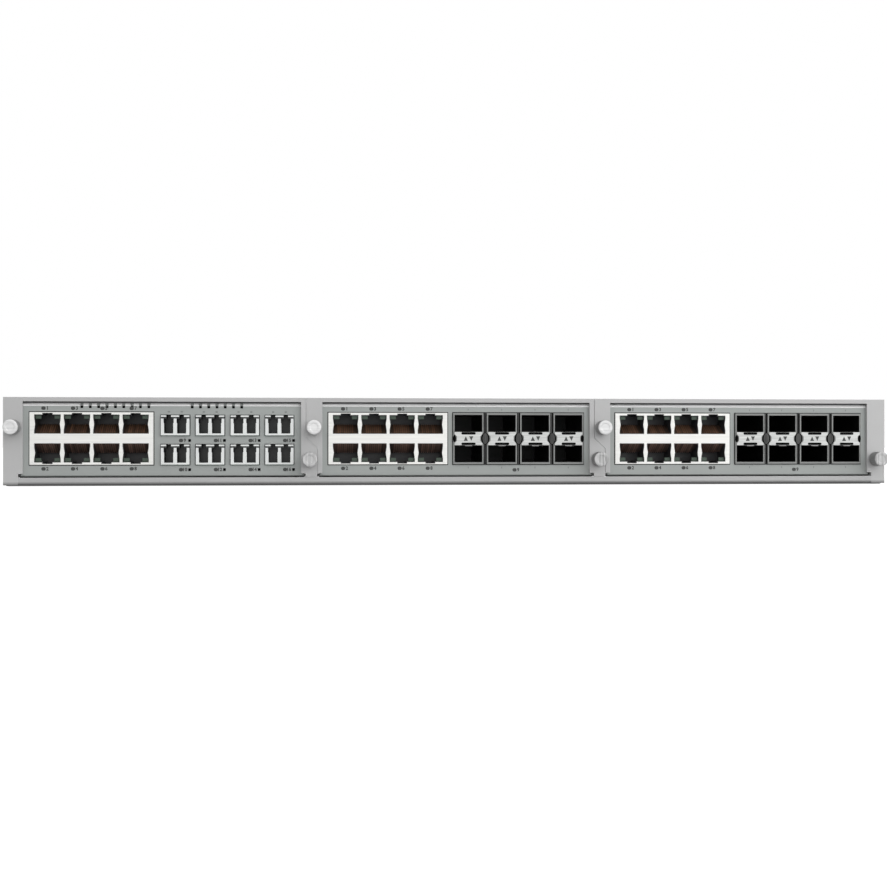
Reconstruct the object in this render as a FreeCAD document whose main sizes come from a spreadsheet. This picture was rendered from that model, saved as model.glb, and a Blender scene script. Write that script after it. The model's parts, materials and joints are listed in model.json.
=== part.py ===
"""Rack-width network unit, one rack unit high, with three plug-in port modules.

The front faces -Y, +Z is up and the unit stands on Z = 0. Each module has a light front panel with two ears,
a folded port plate and tray, a board, stacked copper jacks and, to the right of them, fibre receptacles or
stacked transceiver cages. A thumbscrew in each ear holds the module in a post of the chassis.
The unit's width and height follow from the ports, the pillars between them and the sheets around them.
"""
import FreeCAD
import Part
import Sketcher

import os
import re

# Driving dimensions, in millimetres. Every piece takes its sizes from these, through the sheet.
SIZES = {
    # Sheets and boards
    "tray_wall": 1.2,
    "lid_wall": 1.0,
    "panel_wall": 2.0,
    "module_wall": 1.0,
    "board_wall": 1.6,
    "tray_bend": 2.0,
    "module_bend": 1.0,
    "foot_bend": 0.5,
    # Room between pieces
    "fit_gap": 0.1,
    "slide_gap": 0.2,
    "side_gap": 0.3,
    "run_gap": 0.06,
    "cutout_gap": 0.4,
    # Front of the unit
    "lip_height": 4.05,
    "lip_short": 7.0,
    "lip_gap": 0.5,
    "top_bar": 2.05,
    "top_gap": 0.8,
    "end_margin": 4.0,
    "panel_foot": 0.4,
    "strip_width": 2.4,
    "stem_inner": 3.0,
    "notch_rise": 1.95,
    "port_margin": 3.0,
    "block_gap": 2.9,
    "plate_overlap": 1.2,
    "plate_flange": 8.0,
    # Thumbscrews
    "screw_high": 28.5,
    "screw_low": 12.8,
    "screw_offset": 1.0,
    "seam_clear": 1.6,
    "knob_radius": 3.6,
    "knob_reach": 8.8,
    "knob_stand": 0.6,
    "thread_radius": 1.45,
    "thread_reach": 7.0,
    "post_half": 3.6,
    "post_depth": 8.0,
    # Module boards and trays
    "standoff_height": 3.15,
    "standoff_radius": 3.0,
    "standoff_inset": 6.0,
    "standoff_back": 12.0,
    "standoff_spread": 84.0,
    "board_inset": 1.3,
    "board_setback": 0.6,
    "module_depth": 178.0,
    # Stacked copper jacks
    "jack_side": 2.2,
    "jack_height": 25.5,
    "jack_depth": 31.0,
    "jack_proud": 0.6,
    "headroom": 3.4,
    "socket_pitch": 14.0,
    "socket_width": 12.6,
    "socket_height": 9.3,
    "socket_inner": 2.35,
    "socket_depth": 13.0,
    "socket_lip": 0.25,
    "key_width": 4.9,
    "key_height": 0.75,
    "shield_wall": 0.35,
    "spring_depth": 0.45,
    "spring_half": 3.0,
    "insert_width": 9.6,
    "insert_rise": 4.2,
    "insert_start": 4.0,
    # Stacked transceiver cages
    "cage_width": 15.2,
    "cage_height": 25.5,
    "cage_depth": 48.0,
    "cage_gap": 1.65,
    "cage_proud": 1.0,
    "port_width": 13.9,
    "port_height": 8.5,
    "port_inner": 3.3,
    "port_depth": 45.0,
    "plate_thick": 0.5,
    "notch_half": 2.2,
    "notch_depth": 1.1,
    "latch_half": 3.4,
    "latch_rise": 0.4,
    "latch_slot": 0.65,
    "latch_inset": 0.8,
    "latch_recess": 2.0,
    # Duplex fibre receptacles
    "fibre_width": 13.8,
    "fibre_height": 9.75,
    "fibre_depth": 34.0,
    "fibre_proud": 1.2,
    "fibre_rise": 14.3,
    "bore_width": 4.4,
    "bore_pitch": 6.25,
    "bore_depth": 10.0,
    "bore_floor": 0.9,
    "shoulder_width": 4.9,
    "shoulder_height": 2.2,
    "hook_width": 2.3,
    "tab_height": 0.75,
    "flap_height": 0.8,
    "flap_depth": 1.0,
    "upper_board_depth": 56.0,
    "upper_post_radius": 2.5,
    # Status lights
    "light_width": 1.4,
    "light_pitch": 4.0,
    "light_drop": 2.4,
    "light_first": 39.1,
    "light_second": 13.8,
    "dot_drop": 2.5,
    # Guides, backplane and its plugs
    "guide_height": 6.8,
    "guide_lip": 2.8,
    "web_wall": 1.2,
    "web_flange": 8.0,
    "backplane_wall": 2.4,
    "backplane_room": 10.6,
    "bus_width": 64.0,
    "bus_height": 12.0,
    "bus_wall": 2.0,
    "bus_depth": 10.0,
    "bus_nose": 6.0,
    # Rear bay
    "rear_bay": 75.0,
    "fan_gap": 0.425,
    "fan_depth": 20.0,
    "fan_rim": 1.2,
    "fan_place": 90.0,
    "hub_radius": 10.0,
    "hub_depth": 11.0,
    "hub_base": 3.0,
    "strut_width": 3.0,
    "blade_gap": 0.7,
    "blade_thick": 1.0,
    "blade_run": 7.6,
    "blade_rise": 7.0,
    "grille_slot": 3.0,
    "grille_pitch": 5.0,
    "supply_place": 105.0,
    "supply_width": 130.0,
    "supply_room": 7.4,
    "supply_gap": 6.0,
    "inlet_place": 194.0,
    "inlet_width": 27.0,
    "inlet_height": 19.8,
    "inlet_depth": 24.0,
    "inlet_wall": 1.8,
    "inlet_flange": 2.2,
    "inlet_rim": 2.0,
    "inlet_recess": 17.0,
    "pin_width": 2.0,
    "pin_height": 4.0,
    "pin_length": 12.0,
    "pin_pitch": 7.0,
    # Lid, vents and rack holes
    "lid_flange": 12.0,
    "vent_width": 3.0,
    "vent_height": 20.0,
    "vent_pitch": 7.0,
    "vent_first": 80.0,
    "vent_low": 12.0,
    "rack_hole": 2.0,
    "rack_first": 25.0,
    "rack_spread": 30.0,
    "rack_middle": 22.0,
}

# Places worked out from the driving dimensions.
PLACES = {
    "jack_width": "3 * socket_pitch + socket_width + 2 * jack_side",
    "cage_pitch": "cage_width + cage_gap",
    "cage_span": "3 * cage_pitch + cage_width",
    "window_half": "(jack_width + cage_span + block_gap) / 2 + port_margin",
    "seam_shift": "knob_radius - screw_offset + slide_gap",
    "pillar_half": "seam_shift + strip_width",
    "half_pitch": "window_half + pillar_half",
    "module_pitch": "2 * half_pitch",
    "half_width": "1.5 * module_pitch + end_margin",
    "lip_half": "half_width - lip_short",
    "screw_half": "half_pitch - screw_offset",
    "seam_high": "screw_high - knob_radius - seam_clear",
    "seam_low": "screw_low + knob_radius + seam_clear",
    "stem_half": "half_pitch - stem_inner",
    "notch_top": "lip_height + notch_rise",
    "plate_half": "window_half + plate_overlap",
    "plate_bottom": "lip_height + lip_gap",
    "tray_top": "plate_bottom + module_wall",
    "board_bottom": "tray_top + standoff_height",
    "board_top": "board_bottom + board_wall",
    "plate_top": "board_top + jack_height + headroom + module_wall",
    "window_top": "plate_top + top_gap",
    "chassis_height": "window_top + top_bar",
    "wall_top": "chassis_height - lid_wall",
    "tray_half": "half_pitch - seam_shift - slide_gap",
    "groove_half": "tray_half + side_gap",
    "groove_low": "plate_bottom - slide_gap",
    "groove_high": "tray_top + slide_gap",
    "board_half": "window_half - board_inset",
    "chassis_depth": "module_depth + backplane_room + backplane_wall + rear_bay + tray_wall",
    "front": "(knob_reach - chassis_depth - inlet_flange) / 2",
    "plate_front": "front + panel_wall",
    "plate_back": "plate_front + module_wall",
    "chassis_front": "plate_front + fit_gap",
    "post_back": "chassis_front + post_depth",
    "board_front": "plate_back + board_setback",
    "board_back": "front + module_depth",
    "backplane_front": "board_back + backplane_room",
    "backplane_back": "backplane_front + backplane_wall",
    "rear": "front + chassis_depth",
    "rear_inside": "rear - tray_wall",
    "jack_centre": "port_margin + jack_width / 2 - window_half",
    "first_column": "window_half - port_margin - cage_span + cage_width / 2",
    "socket_half": "socket_width / 2",
    "socket_outer": "socket_inner + socket_height",
    "key_half": "key_width / 2",
    "fan_side": "wall_top - tray_wall - 2 * fan_gap",
    "fan_middle": "tray_wall + fan_gap + fan_side / 2",
    "fan_bore": "fan_side / 2 - fan_rim",
    "blade_tip": "fan_bore - blade_gap",
    "inlet_middle": "wall_top / 2",
}

SLOTS = (-1, 0, 1)
COLUMNS = 4
BLADES = 5

doc = FreeCAD.newDocument("network_unit")
sheet = doc.addObject("Spreadsheet::Sheet", "Size")
for row, (name, size) in enumerate(SIZES.items(), start=1):
    sheet.set(f"A{row}", name)
    sheet.set(f"B{row}", str(size))
    sheet.setAlias(f"B{row}", name)
doc.recompute()
pieces = []


def formula(text):
    """Write a formula of size and place names as one that refers to the sheet."""
    def refer(match):
        word = match.group(0)
        if word in PLACES:
            return f"({formula(PLACES[word])})"
        return f"Size.{word}" if word in SIZES else word
    return re.sub(r"[a-z][a-z_]*", refer, str(text))


def number(text):
    """Give a formula's value as the sheet stands."""
    return float(sheet.evalExpression(formula(text)))


def new_body(label, x="0", y="0", z="0"):
    """Start a sub-part whose own origin is at the given place."""
    body = doc.addObject("PartDesign::Body", label)
    body.Label = label
    for axis, text in zip("xyz", (x, y, z)):
        body.setExpression(f"Placement.Base.{axis}", formula(text))
    pieces.append(body)
    return body


def datum(body, role):
    """Find one of a body's own planes or axes."""
    return next(item for item in body.Origin.OriginFeatures if item.Role == role)


def pin_point(sketch, geometry, point, x, y):
    """Tie a point of a sketch to its two formulas."""
    for kind, text in (("DistanceX", x), ("DistanceY", y)):
        index = sketch.addConstraint(Sketcher.Constraint(kind, -1, 1, geometry, point, number(text)))
        sketch.setExpression(f"Constraints[{index}]", formula(text))


def polygon(*corners):
    """A closed outline through corners given as pairs of formulas."""
    def add(sketch):
        spots = [FreeCAD.Vector(number(x), number(y), 0) for x, y in corners]
        first = sketch.GeometryCount
        following = [(index + 1) % len(corners) for index in range(len(corners))]
        for index, after in enumerate(following):
            sketch.addGeometry(Part.LineSegment(spots[index], spots[after]))
        for index, after in enumerate(following):
            sketch.addConstraint(Sketcher.Constraint("Coincident", first + index, 2, first + after, 1))
            pin_point(sketch, first + index, 1, *corners[index])
    return add


def rectangle(left, right, low, high):
    """An upright rectangle between two formulas each way."""
    return polygon((left, low), (right, low), (right, high), (left, high))


def square(x, y, half):
    """A square about a centre."""
    return rectangle(f"{x} - ({half})", f"{x} + ({half})", f"{y} - ({half})", f"{y} + ({half})")


def hexagon(x, y, radius):
    """A hexagon about a centre, with two of its corners along X."""
    across = f"({radius} * sin(60 deg))"
    return polygon((f"{x} + {radius}", y), (f"{x} + {radius} / 2", f"{y} + {across}"),
                   (f"{x} - {radius} / 2", f"{y} + {across}"), (f"{x} - {radius}", y),
                   (f"{x} - {radius} / 2", f"{y} - {across}"), (f"{x} + {radius} / 2", f"{y} - {across}"))


def circle(x, y, radius):
    """A circle about a centre."""
    def add(sketch):
        centre = FreeCAD.Vector(number(x), number(y), 0)
        index = sketch.addGeometry(Part.Circle(centre, FreeCAD.Vector(0, 0, 1), number(radius)))
        pin_point(sketch, index, 3, x, y)
        size = sketch.addConstraint(Sketcher.Constraint("Radius", index, number(radius)))
        sketch.setExpression(f"Constraints[{size}]", formula(radius))
    return add


# A sketch's plane, and the sign that turns a place along its axis into an offset from that plane.
# On the top plane a sketch reads X and Y, on the front plane X and Z, and on the side plane Y and Z.
PLANES = {"top": ("XY_Plane", ""), "front": ("XZ_Plane", "-"), "side": ("YZ_Plane", "")}


def draw(body, plane, at, *outlines):
    """Sketch outlines on a plane at a place along the plane's own axis."""
    role, sign = PLANES[plane]
    sketch = body.newObject("Sketcher::SketchObject", f"{body.Name}_sketch")
    sketch.AttachmentSupport = [(datum(body, role), "")]
    sketch.MapMode = "FlatFace"
    sketch.setExpression("AttachmentOffset.Base.z", formula(f"{sign}({at})"))
    for outline in outlines:
        outline(sketch)
    return sketch


def pad(body, plane, at, length, *outlines):
    """Add outlines as prisms that run from a place in the direction of the plane's axis."""
    feature = body.newObject("PartDesign::Pad", f"{body.Name}_pad")
    feature.Profile = draw(body, plane, at, *outlines)
    feature.Reversed = plane == "front"
    feature.setExpression("Length", formula(length))
    return feature


def pocket(body, plane, at, length, *outlines):
    """Cut outlines out as prisms that run from a place in the direction of the plane's axis."""
    feature = body.newObject("PartDesign::Pocket", f"{body.Name}_pocket")
    feature.Profile = draw(body, plane, at, *outlines)
    feature.Reversed = plane != "front"
    feature.setExpression("Length", formula(length))
    return feature


def turn(body, *outlines):
    """Turn half sections, drawn along Y with their radius along Z, about the body's Y axis."""
    feature = body.newObject("PartDesign::Revolution", f"{body.Name}_turned")
    feature.Profile = draw(body, "side", "0", *outlines)
    feature.ReferenceAxis = (datum(body, "Y_Axis"), [""])
    feature.Angle = 360
    return feature


def row_of(body, pitch, count, axis="X_Axis"):
    """A pattern along one of the body's axes."""
    pattern = body.newObject("PartDesign::LinearPattern", f"{body.Name}_row")
    pattern.Direction = (datum(body, axis), [""])
    pattern.setExpression("Length", formula(f"{count - 1} * ({pitch})"))
    pattern.Occurrences = count
    return pattern


def repeat_stack(body, features, pitch, count):
    """Repeat features along X, and mirror the row about the body's middle height."""
    stack = body.newObject("PartDesign::MultiTransform", f"{body.Name}_stack")
    stack.Originals = features
    pattern = row_of(body, pitch, count)
    mirror = body.newObject("PartDesign::Mirrored", f"{body.Name}_mirror")
    mirror.MirrorPlane = (datum(body, "XY_Plane"), [""])
    stack.Transformations = [pattern, mirror]
    body.Tip = stack


def edges_along(shape, axis, **at):
    """Name the straight edges along an axis that lie at the given places."""
    names = []
    for index, edge in enumerate(shape.Edges, start=1):
        span = edge.BoundBox
        lengths = {"x": span.XLength, "y": span.YLength, "z": span.ZLength}
        straight = all(length < 1e-6 for key, length in lengths.items() if key != axis)
        middle = {"x": span.Center.x, "y": span.Center.y, "z": span.Center.z}
        if straight and all(abs(middle[key] - number(text)) < 1e-6 for key, text in at.items()):
            names.append(f"Edge{index}")
    return names


def round_edges(body, radius, *choices):
    """Round chosen edges of a body: each choice is an axis and the places that its edges lie at."""
    doc.recompute()
    base = body.Tip
    names = [name for axis, at in choices for name in edges_along(base.Shape, axis, **at)]
    feature = body.newObject("PartDesign::Fillet", f"{body.Name}_round")
    feature.Base = (base, names)
    feature.setExpression("Radius", formula(radius))


def slot_x(slot):
    """The middle of a module's bay."""
    return f"{slot} * module_pitch"


def base_tray():
    """Folded floor, front lip, side walls and rear wall."""
    body = new_body("base_tray")
    pad(body, "top", "0", "wall_top", polygon(
        ("-half_width", "chassis_front"), ("-lip_half", "chassis_front"), ("-lip_half", "front"),
        ("lip_half", "front"), ("lip_half", "chassis_front"), ("half_width", "chassis_front"),
        ("half_width", "rear"), ("-half_width", "rear")))
    round_edges(body, "tray_bend", ("x", {"y": "front", "z": "0"}), ("x", {"y": "rear", "z": "0"}),
                ("y", {"x": "half_width", "z": "0"}), ("y", {"x": "-half_width", "z": "0"}))
    inside = "half_width - tray_wall"
    lip_back = "front + tray_wall"
    pocket(body, "top", "tray_wall", "wall_top", polygon(
        ("-lip_half", lip_back), ("lip_half", lip_back), ("lip_half", "chassis_front"),
        (inside, "chassis_front"), (inside, "rear_inside"), (f"-({inside})", "rear_inside"),
        (f"-({inside})", "chassis_front"), ("-lip_half", "chassis_front")))
    pocket(body, "front", "front", "tray_wall",
           rectangle("-lip_half", "lip_half", "lip_height", "wall_top"))
    pocket(body, "front", "rear_inside", "tray_wall", *rear_openings())
    pocket(body, "side", "-half_width", "2 * half_width", *side_openings())
    pocket(body, "front", "rear_inside", "tray_wall", *grille("fan_place"))


def grille(middle):
    """Upright slots that fill a fan's circle."""
    slots = []
    for step in range(-3, 4):
        centre = f"{middle} + {step} * grille_pitch"
        away = f"{step * step} * grille_pitch * grille_pitch"
        half = f"sqrt((fan_bore - fan_rim) * (fan_bore - fan_rim) - {away})"
        slots.append(rectangle(f"{centre} - grille_slot / 2", f"{centre} + grille_slot / 2",
                               f"fan_middle - {half}", f"fan_middle + {half}"))
    return slots


def rear_openings():
    """The power inlet's cut-out."""
    half = "(inlet_width / 2 + fit_gap)"
    rise = "(inlet_height / 2 + fit_gap)"
    return [rectangle(f"-inlet_place - {half}", f"-inlet_place + {half}",
                      f"inlet_middle - {rise}", f"inlet_middle + {rise}")]


def side_openings():
    """Air slots, and the holes for a rack bracket."""
    slots = []
    for index in range(8):
        centre = f"chassis_front + vent_first + {index} * vent_pitch"
        slots.append(rectangle(f"{centre} - vent_width / 2", f"{centre} + vent_width / 2",
                               "vent_low", "vent_low + vent_height"))
    racks = [circle(f"chassis_front + rack_first + {step} * rack_spread", "rack_middle", "rack_hole")
             for step in (0, 1)]
    return slots + racks


def top_cover():
    """Flat lid with a flange inside each side wall."""
    body = new_body("top_cover")
    pad(body, "top", "wall_top", "lid_wall", rectangle("-half_width", "half_width", "chassis_front", "rear"))
    outer = "(half_width - tray_wall - slide_gap)"
    inner = "(half_width - tray_wall - slide_gap - lid_wall)"
    start = "post_back + side_gap"
    stop = "rear_inside - side_gap"
    pad(body, "top", "wall_top - lid_flange", "lid_flange", rectangle(inner, outer, start, stop),
        rectangle(f"-{outer}", f"-{inner}", start, stop))


def inner_post(middle):
    """Outline of a post between two bays, notched for the trays that slide past it."""
    wide = "post_half"
    narrow = "(half_pitch - groove_half)"
    return polygon(
        (f"{middle} - {wide}", "tray_wall"), (f"{middle} + {wide}", "tray_wall"),
        (f"{middle} + {wide}", "groove_low"), (f"{middle} + {narrow}", "groove_low"),
        (f"{middle} + {narrow}", "groove_high"), (f"{middle} + {wide}", "groove_high"),
        (f"{middle} + {wide}", "wall_top"), (f"{middle} - {wide}", "wall_top"),
        (f"{middle} - {wide}", "groove_high"), (f"{middle} - {narrow}", "groove_high"),
        (f"{middle} - {narrow}", "groove_low"), (f"{middle} - {wide}", "groove_low"))


def end_post(sign):
    """Outline of a post beside a side wall, notched on its bay's side."""
    wall = f"{sign}(half_width - tray_wall)"
    face = f"{sign}(module_pitch + half_pitch - post_half)"
    notch = f"{sign}(module_pitch + groove_half)"
    return polygon((wall, "tray_wall"), (face, "tray_wall"), (face, "groove_low"), (notch, "groove_low"),
                   (notch, "groove_high"), (face, "groove_high"), (face, "wall_top"), (wall, "wall_top"))


def thumbscrew_places(slot):
    """A module's two thumbscrews: upper left and lower right."""
    return {"upper": (f"{slot_x(slot)} - screw_half", "screw_high"),
            "lower": (f"{slot_x(slot)} + screw_half", "screw_low")}


def front_posts():
    """Four tapped bars that take the thumbscrews."""
    body = new_body("front_posts")
    pad(body, "front", "chassis_front", "post_depth", end_post("-"), inner_post("-half_pitch"),
        inner_post("half_pitch"), end_post(""))
    pocket(body, "front", "chassis_front", "post_depth",
           *[circle(x, z, "thread_radius + run_gap") for slot in SLOTS
             for x, z in thumbscrew_places(slot).values()])


def divider(label, middle):
    """Web between two bays, with a flange at its back that carries the backplane."""
    body = new_body(label, x=middle)
    pad(body, "top", "tray_wall", "wall_top - tray_wall - side_gap", polygon(
        ("-web_wall / 2", "post_back"), ("web_wall / 2", "post_back"),
        ("web_wall / 2", "backplane_front - web_wall"), ("web_flange", "backplane_front - web_wall"),
        ("web_flange", "backplane_front"), ("-web_wall / 2", "backplane_front")))


def card_guides():
    """Channels along both sides of each bay, in which the module trays slide."""
    body = new_body("card_guides")
    top = "tray_wall + guide_height"
    outlines = []
    for slot in SLOTS:
        for sign, at_wall in (("-", slot == -1), ("+", slot == 1)):
            bay = slot_x(slot)
            wall, web = f"{sign}(half_width - tray_wall)", f"{bay} {sign} (half_pitch - web_wall / 2)"
            face = wall if at_wall else web
            groove = f"{bay} {sign} groove_half"
            lip = f"{bay} {sign} (groove_half - guide_lip)"
            outlines.append(polygon((face, "tray_wall"), (lip, "tray_wall"), (lip, "groove_low"),
                                    (groove, "groove_low"), (groove, "groove_high"), (lip, "groove_high"),
                                    (lip, top), (face, top)))
    length = "backplane_front - web_wall - post_back - 2 * side_gap"
    pad(body, "front", "post_back + side_gap", length, *outlines)


def backplane():
    """Upright board behind the three bays."""
    body = new_body("backplane")
    half = "(half_width - tray_wall - end_margin)"
    pad(body, "front", "backplane_front", "backplane_wall",
        rectangle(f"-{half}", half, "tray_wall", "plate_top"))


def backplane_sockets():
    """A socket for each module's plug."""
    body = new_body("backplane_sockets")
    half = "(bus_width / 2 + bus_wall + side_gap)"
    low = "(board_top - bus_wall - side_gap)"
    high = "(board_top + bus_height + bus_wall + side_gap)"
    pad(body, "front", "backplane_front - bus_depth", "bus_depth",
        *[rectangle(f"{slot_x(slot)} - {half}", f"{slot_x(slot)} + {half}", low, high) for slot in SLOTS])
    pocket(body, "front", "backplane_front - bus_depth", "bus_depth - bus_wall",
           *[rectangle(f"{slot_x(slot)} - {half} + bus_wall", f"{slot_x(slot)} + {half} - bus_wall",
                       f"{low} + bus_wall", f"{high} - bus_wall") for slot in SLOTS])


def power_supply():
    """Closed supply unit on the floor behind the backplane."""
    body = new_body("power_supply", x="-supply_place", y="backplane_back + supply_gap", z="tray_wall")
    height = "wall_top - tray_wall - supply_room"
    depth = "rear_bay - 2 * supply_gap"
    pad(body, "top", "0", height, rectangle("-supply_width / 2", "supply_width / 2", "0", depth))
    round_edges(body, "lid_wall", ("x", {"z": height, "y": "0"}), ("x", {"z": height, "y": depth}))


def power_inlet():
    """Three-pin inlet in the rear wall."""
    body = new_body("power_inlet", x="-inlet_place", y="rear", z="inlet_middle")
    half = "inlet_width / 2"
    rise = "inlet_height / 2"
    pad(body, "front", "-inlet_depth", "inlet_depth", rectangle(f"-{half}", half, f"-{rise}", rise))
    pad(body, "front", "0", "inlet_flange", rectangle(
        f"-{half} - inlet_rim", f"{half} + inlet_rim", f"-{rise} - inlet_rim", f"{rise} + inlet_rim"))
    hollow = f"({half} - inlet_wall)"
    drop = f"({rise} - inlet_wall)"
    cut = f"({drop} - inlet_wall * 2)"
    pocket(body, "front", "inlet_flange - inlet_recess", "inlet_recess", polygon(
        (f"-{hollow}", f"-{drop}"), (hollow, f"-{drop}"), (hollow, cut), (f"{hollow} - inlet_wall * 2", drop),
        (f"-{hollow} + inlet_wall * 2", drop), (f"-{hollow}", cut)))
    pad(body, "front", "inlet_flange - inlet_recess - inlet_wall", "pin_length + inlet_wall",
        *[rectangle(f"{step} * pin_pitch - pin_width / 2", f"{step} * pin_pitch + pin_width / 2",
                    f"{lift} * pin_height / 2 - pin_height / 2", f"{lift} * pin_height / 2 + pin_height / 2")
          for step, lift in ((-1, -1), (0, 1), (1, -1))])


def fan_frame():
    """Square frame with a round bore, and a bearing carried on four struts."""
    body = new_body("fan_frame", x="fan_place", y="rear_inside - fan_depth", z="fan_middle")
    side, back = "fan_side / 2", "fan_depth - hub_base"
    reach, half = "(fan_bore + fan_rim / 2)", "strut_width / 2"
    pad(body, "front", "0", "fan_depth", rectangle(f"-{side}", side, f"-{side}", side))
    pocket(body, "front", "0", "fan_depth", circle("0", "0", "fan_bore"))
    pad(body, "front", back, "hub_base", rectangle(f"-{reach}", reach, f"-{half}", half))
    pad(body, "front", back, "hub_base", rectangle(f"-{half}", half, f"-{reach}", reach))
    pad(body, "front", back, "hub_base", circle("0", "0", "hub_radius"))


def fan_rotor():
    """Hub with slanting blades."""
    body = new_body("fan_rotor", x="fan_place", y="rear_inside - hub_base - side_gap", z="fan_middle")
    turn(body, rectangle("-hub_depth", "0", "0", "hub_radius"))
    start = "(-hub_depth / 2 - blade_run / 2)"
    stop = "(-hub_depth / 2 + blade_run / 2)"
    half, rise = "blade_thick / 2", "blade_rise / 2"
    blade = pad(body, "side", "hub_radius - blade_thick", "blade_tip - hub_radius", polygon(
        (f"{start} - {half}", f"-{rise}"), (f"{start} + {half}", f"-{rise}"),
        (f"{stop} + {half}", rise), (f"{stop} - {half}", rise)))
    ring = body.newObject("PartDesign::PolarPattern", f"{body.Name}_ring")
    ring.Originals = [blade]
    ring.Axis = (datum(body, "Y_Axis"), [""])
    ring.Angle = 360
    ring.Occurrences = BLADES
    body.Tip = ring


def panel_outline(slot):
    """Outline of a front panel: a bar across the top and a leg down each side.

    Next to another module the legs meet along a seam that steps across the pillar between the two knobs,
    so that each panel has a wide ear where its own thumbscrew is. At the unit's ends the leg runs down
    to the floor.
    """
    half_gap = "slide_gap / 2"
    top = "chassis_height"
    stem_foot = "(lip_height + slide_gap)"
    end = "(half_width - module_pitch)"
    left_high = f"(-half_pitch - seam_shift + {half_gap})"
    left_low = f"(-half_pitch + seam_shift + {half_gap})"
    right_high = f"(half_pitch - seam_shift - {half_gap})"
    right_low = f"(half_pitch + seam_shift - {half_gap})"
    if slot == SLOTS[0]:
        left = [("-window_half", "notch_top"), ("-stem_half", "notch_top"), ("-stem_half", "panel_foot"),
                (f"-{end}", "panel_foot"), (f"-{end}", top)]
    else:
        left = [("-window_half", "notch_top"), (left_low, "notch_top"), (left_low, "seam_low"),
                (left_high, "seam_high"), (left_high, top)]
    if slot == SLOTS[-1]:
        right = [(end, top), (end, "panel_foot"), ("stem_half", "panel_foot"), ("stem_half", "notch_top"),
                 ("window_half", "notch_top")]
    else:
        right = [(right_high, top), (right_high, "seam_high"), (right_low, "seam_low"),
                 (right_low, stem_foot), ("stem_half", stem_foot), ("stem_half", "notch_top"),
                 ("window_half", "notch_top")]
    return polygon(("-window_half", "window_top"), *left, *right, ("window_half", "window_top"))


def front_panel(slot, mark):
    """Light plate with the module's two ears."""
    body = new_body(f"front_panel_{mark}", x=slot_x(slot))
    pad(body, "front", "front", "panel_wall", panel_outline(slot))
    bore = "thread_radius + run_gap"
    pocket(body, "front", "front", "panel_wall", circle("-screw_half", "screw_high", bore),
           circle("screw_half", "screw_low", bore))


def column_x(column):
    """The middle of one of the four columns to the right of the jacks."""
    return f"(first_column + {column} * cage_pitch)"


def fibre_middle(level):
    """The middle height of the lower or the upper row of receptacles."""
    return f"(board_top + fibre_height / 2 + {level} * fibre_rise)"


def light_places():
    """The status lights along the top of the port plate, in two groups."""
    first = [f"({index} * light_pitch - light_first)" for index in range(9)]
    second = [f"({index} * light_pitch + light_second)" for index in range(7)]
    return first, second


def dot_places():
    """The lights below the right edge of each fibre receptacle."""
    return [(f"{column_x(column)} + fibre_width / 2", f"{fibre_middle(level)} - fibre_height / 2 - dot_drop")
            for level in (0, 1) for column in range(COLUMNS)]


def port_cutouts(slot):
    """Cut-outs in a port plate round the jacks and the ports beside them."""
    jack_half = "(jack_width / 2 + cutout_gap)"
    jack_low = "(board_top - cutout_gap)"
    cuts = [rectangle(f"jack_centre - {jack_half}", f"jack_centre + {jack_half}",
                      jack_low, "board_top + jack_height + cutout_gap")]
    if slot == SLOTS[0]:
        half, rise = "(fibre_width / 2 + cutout_gap)", "(fibre_height / 2 + cutout_gap)"
        cuts += [rectangle(f"{column_x(column)} - {half}", f"{column_x(column)} + {half}",
                           f"{fibre_middle(level)} - {rise}", f"{fibre_middle(level)} + {rise}")
                 for level in (0, 1) for column in range(COLUMNS)]
        cuts += [square(x, z, "light_width / 2") for x, z in dot_places()]
    else:
        half = "(cage_width / 2 + cutout_gap)"
        cuts.append(rectangle(f"{column_x(0)} - {half}", f"{column_x(COLUMNS - 1)} + {half}",
                              jack_low, "board_top + cage_height + cutout_gap"))
    return cuts


def standoff_places():
    """Where a module's board stands on its tray."""
    return [(f"{sign}(board_half - standoff_inset)", f"board_back - standoff_back - {step} * standoff_spread")
            for sign in ("-", "") for step in (0, 1)]


def module_tray(slot, mark):
    """Port plate, top flange and tray, folded from one sheet."""
    body = new_body(f"module_tray_{mark}", x=slot_x(slot))
    tray_end = "board_back - standoff_radius"
    flange_end = "plate_front + plate_flange"
    flange_low = "plate_top - module_wall"
    pad(body, "side", "-plate_half", "2 * plate_half", polygon(
        ("plate_front + foot_bend", "plate_bottom"), (tray_end, "plate_bottom"), (tray_end, "tray_top"),
        ("plate_back", "tray_top"), ("plate_back", flange_low), (flange_end, flange_low),
        (flange_end, "plate_top"), ("plate_front + module_bend", "plate_top"),
        ("plate_front", "plate_top - module_bend"), ("plate_front", "plate_bottom + foot_bend")))
    runner = "plate_front + 2 * module_bend"
    pad(body, "top", "plate_bottom", "module_wall",
        rectangle("-tray_half", "-plate_half + module_bend", runner, tray_end),
        rectangle("plate_half - module_bend", "tray_half", runner, tray_end))
    pocket(body, "front", "plate_front", "module_wall", *port_cutouts(slot))
    pad(body, "top", "tray_top", "standoff_height",
        *[hexagon(x, y, "standoff_radius") for x, y in standoff_places()])
    if slot == SLOTS[0]:
        half = "(light_width / 2)"
        pocket(body, "front", "plate_front", "2 * module_bend", *[
            rectangle(f"{x} - {half}", f"{x} + {half}", "plate_top - light_drop", "plate_top")
            for group in light_places() for x in group])


def module_board(slot, mark):
    """Circuit board on the tray's standoffs."""
    body = new_body(f"module_board_{mark}", x=slot_x(slot))
    pad(body, "top", "board_bottom", "board_wall",
        rectangle("-board_half", "board_half", "board_front", "board_back"))


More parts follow.
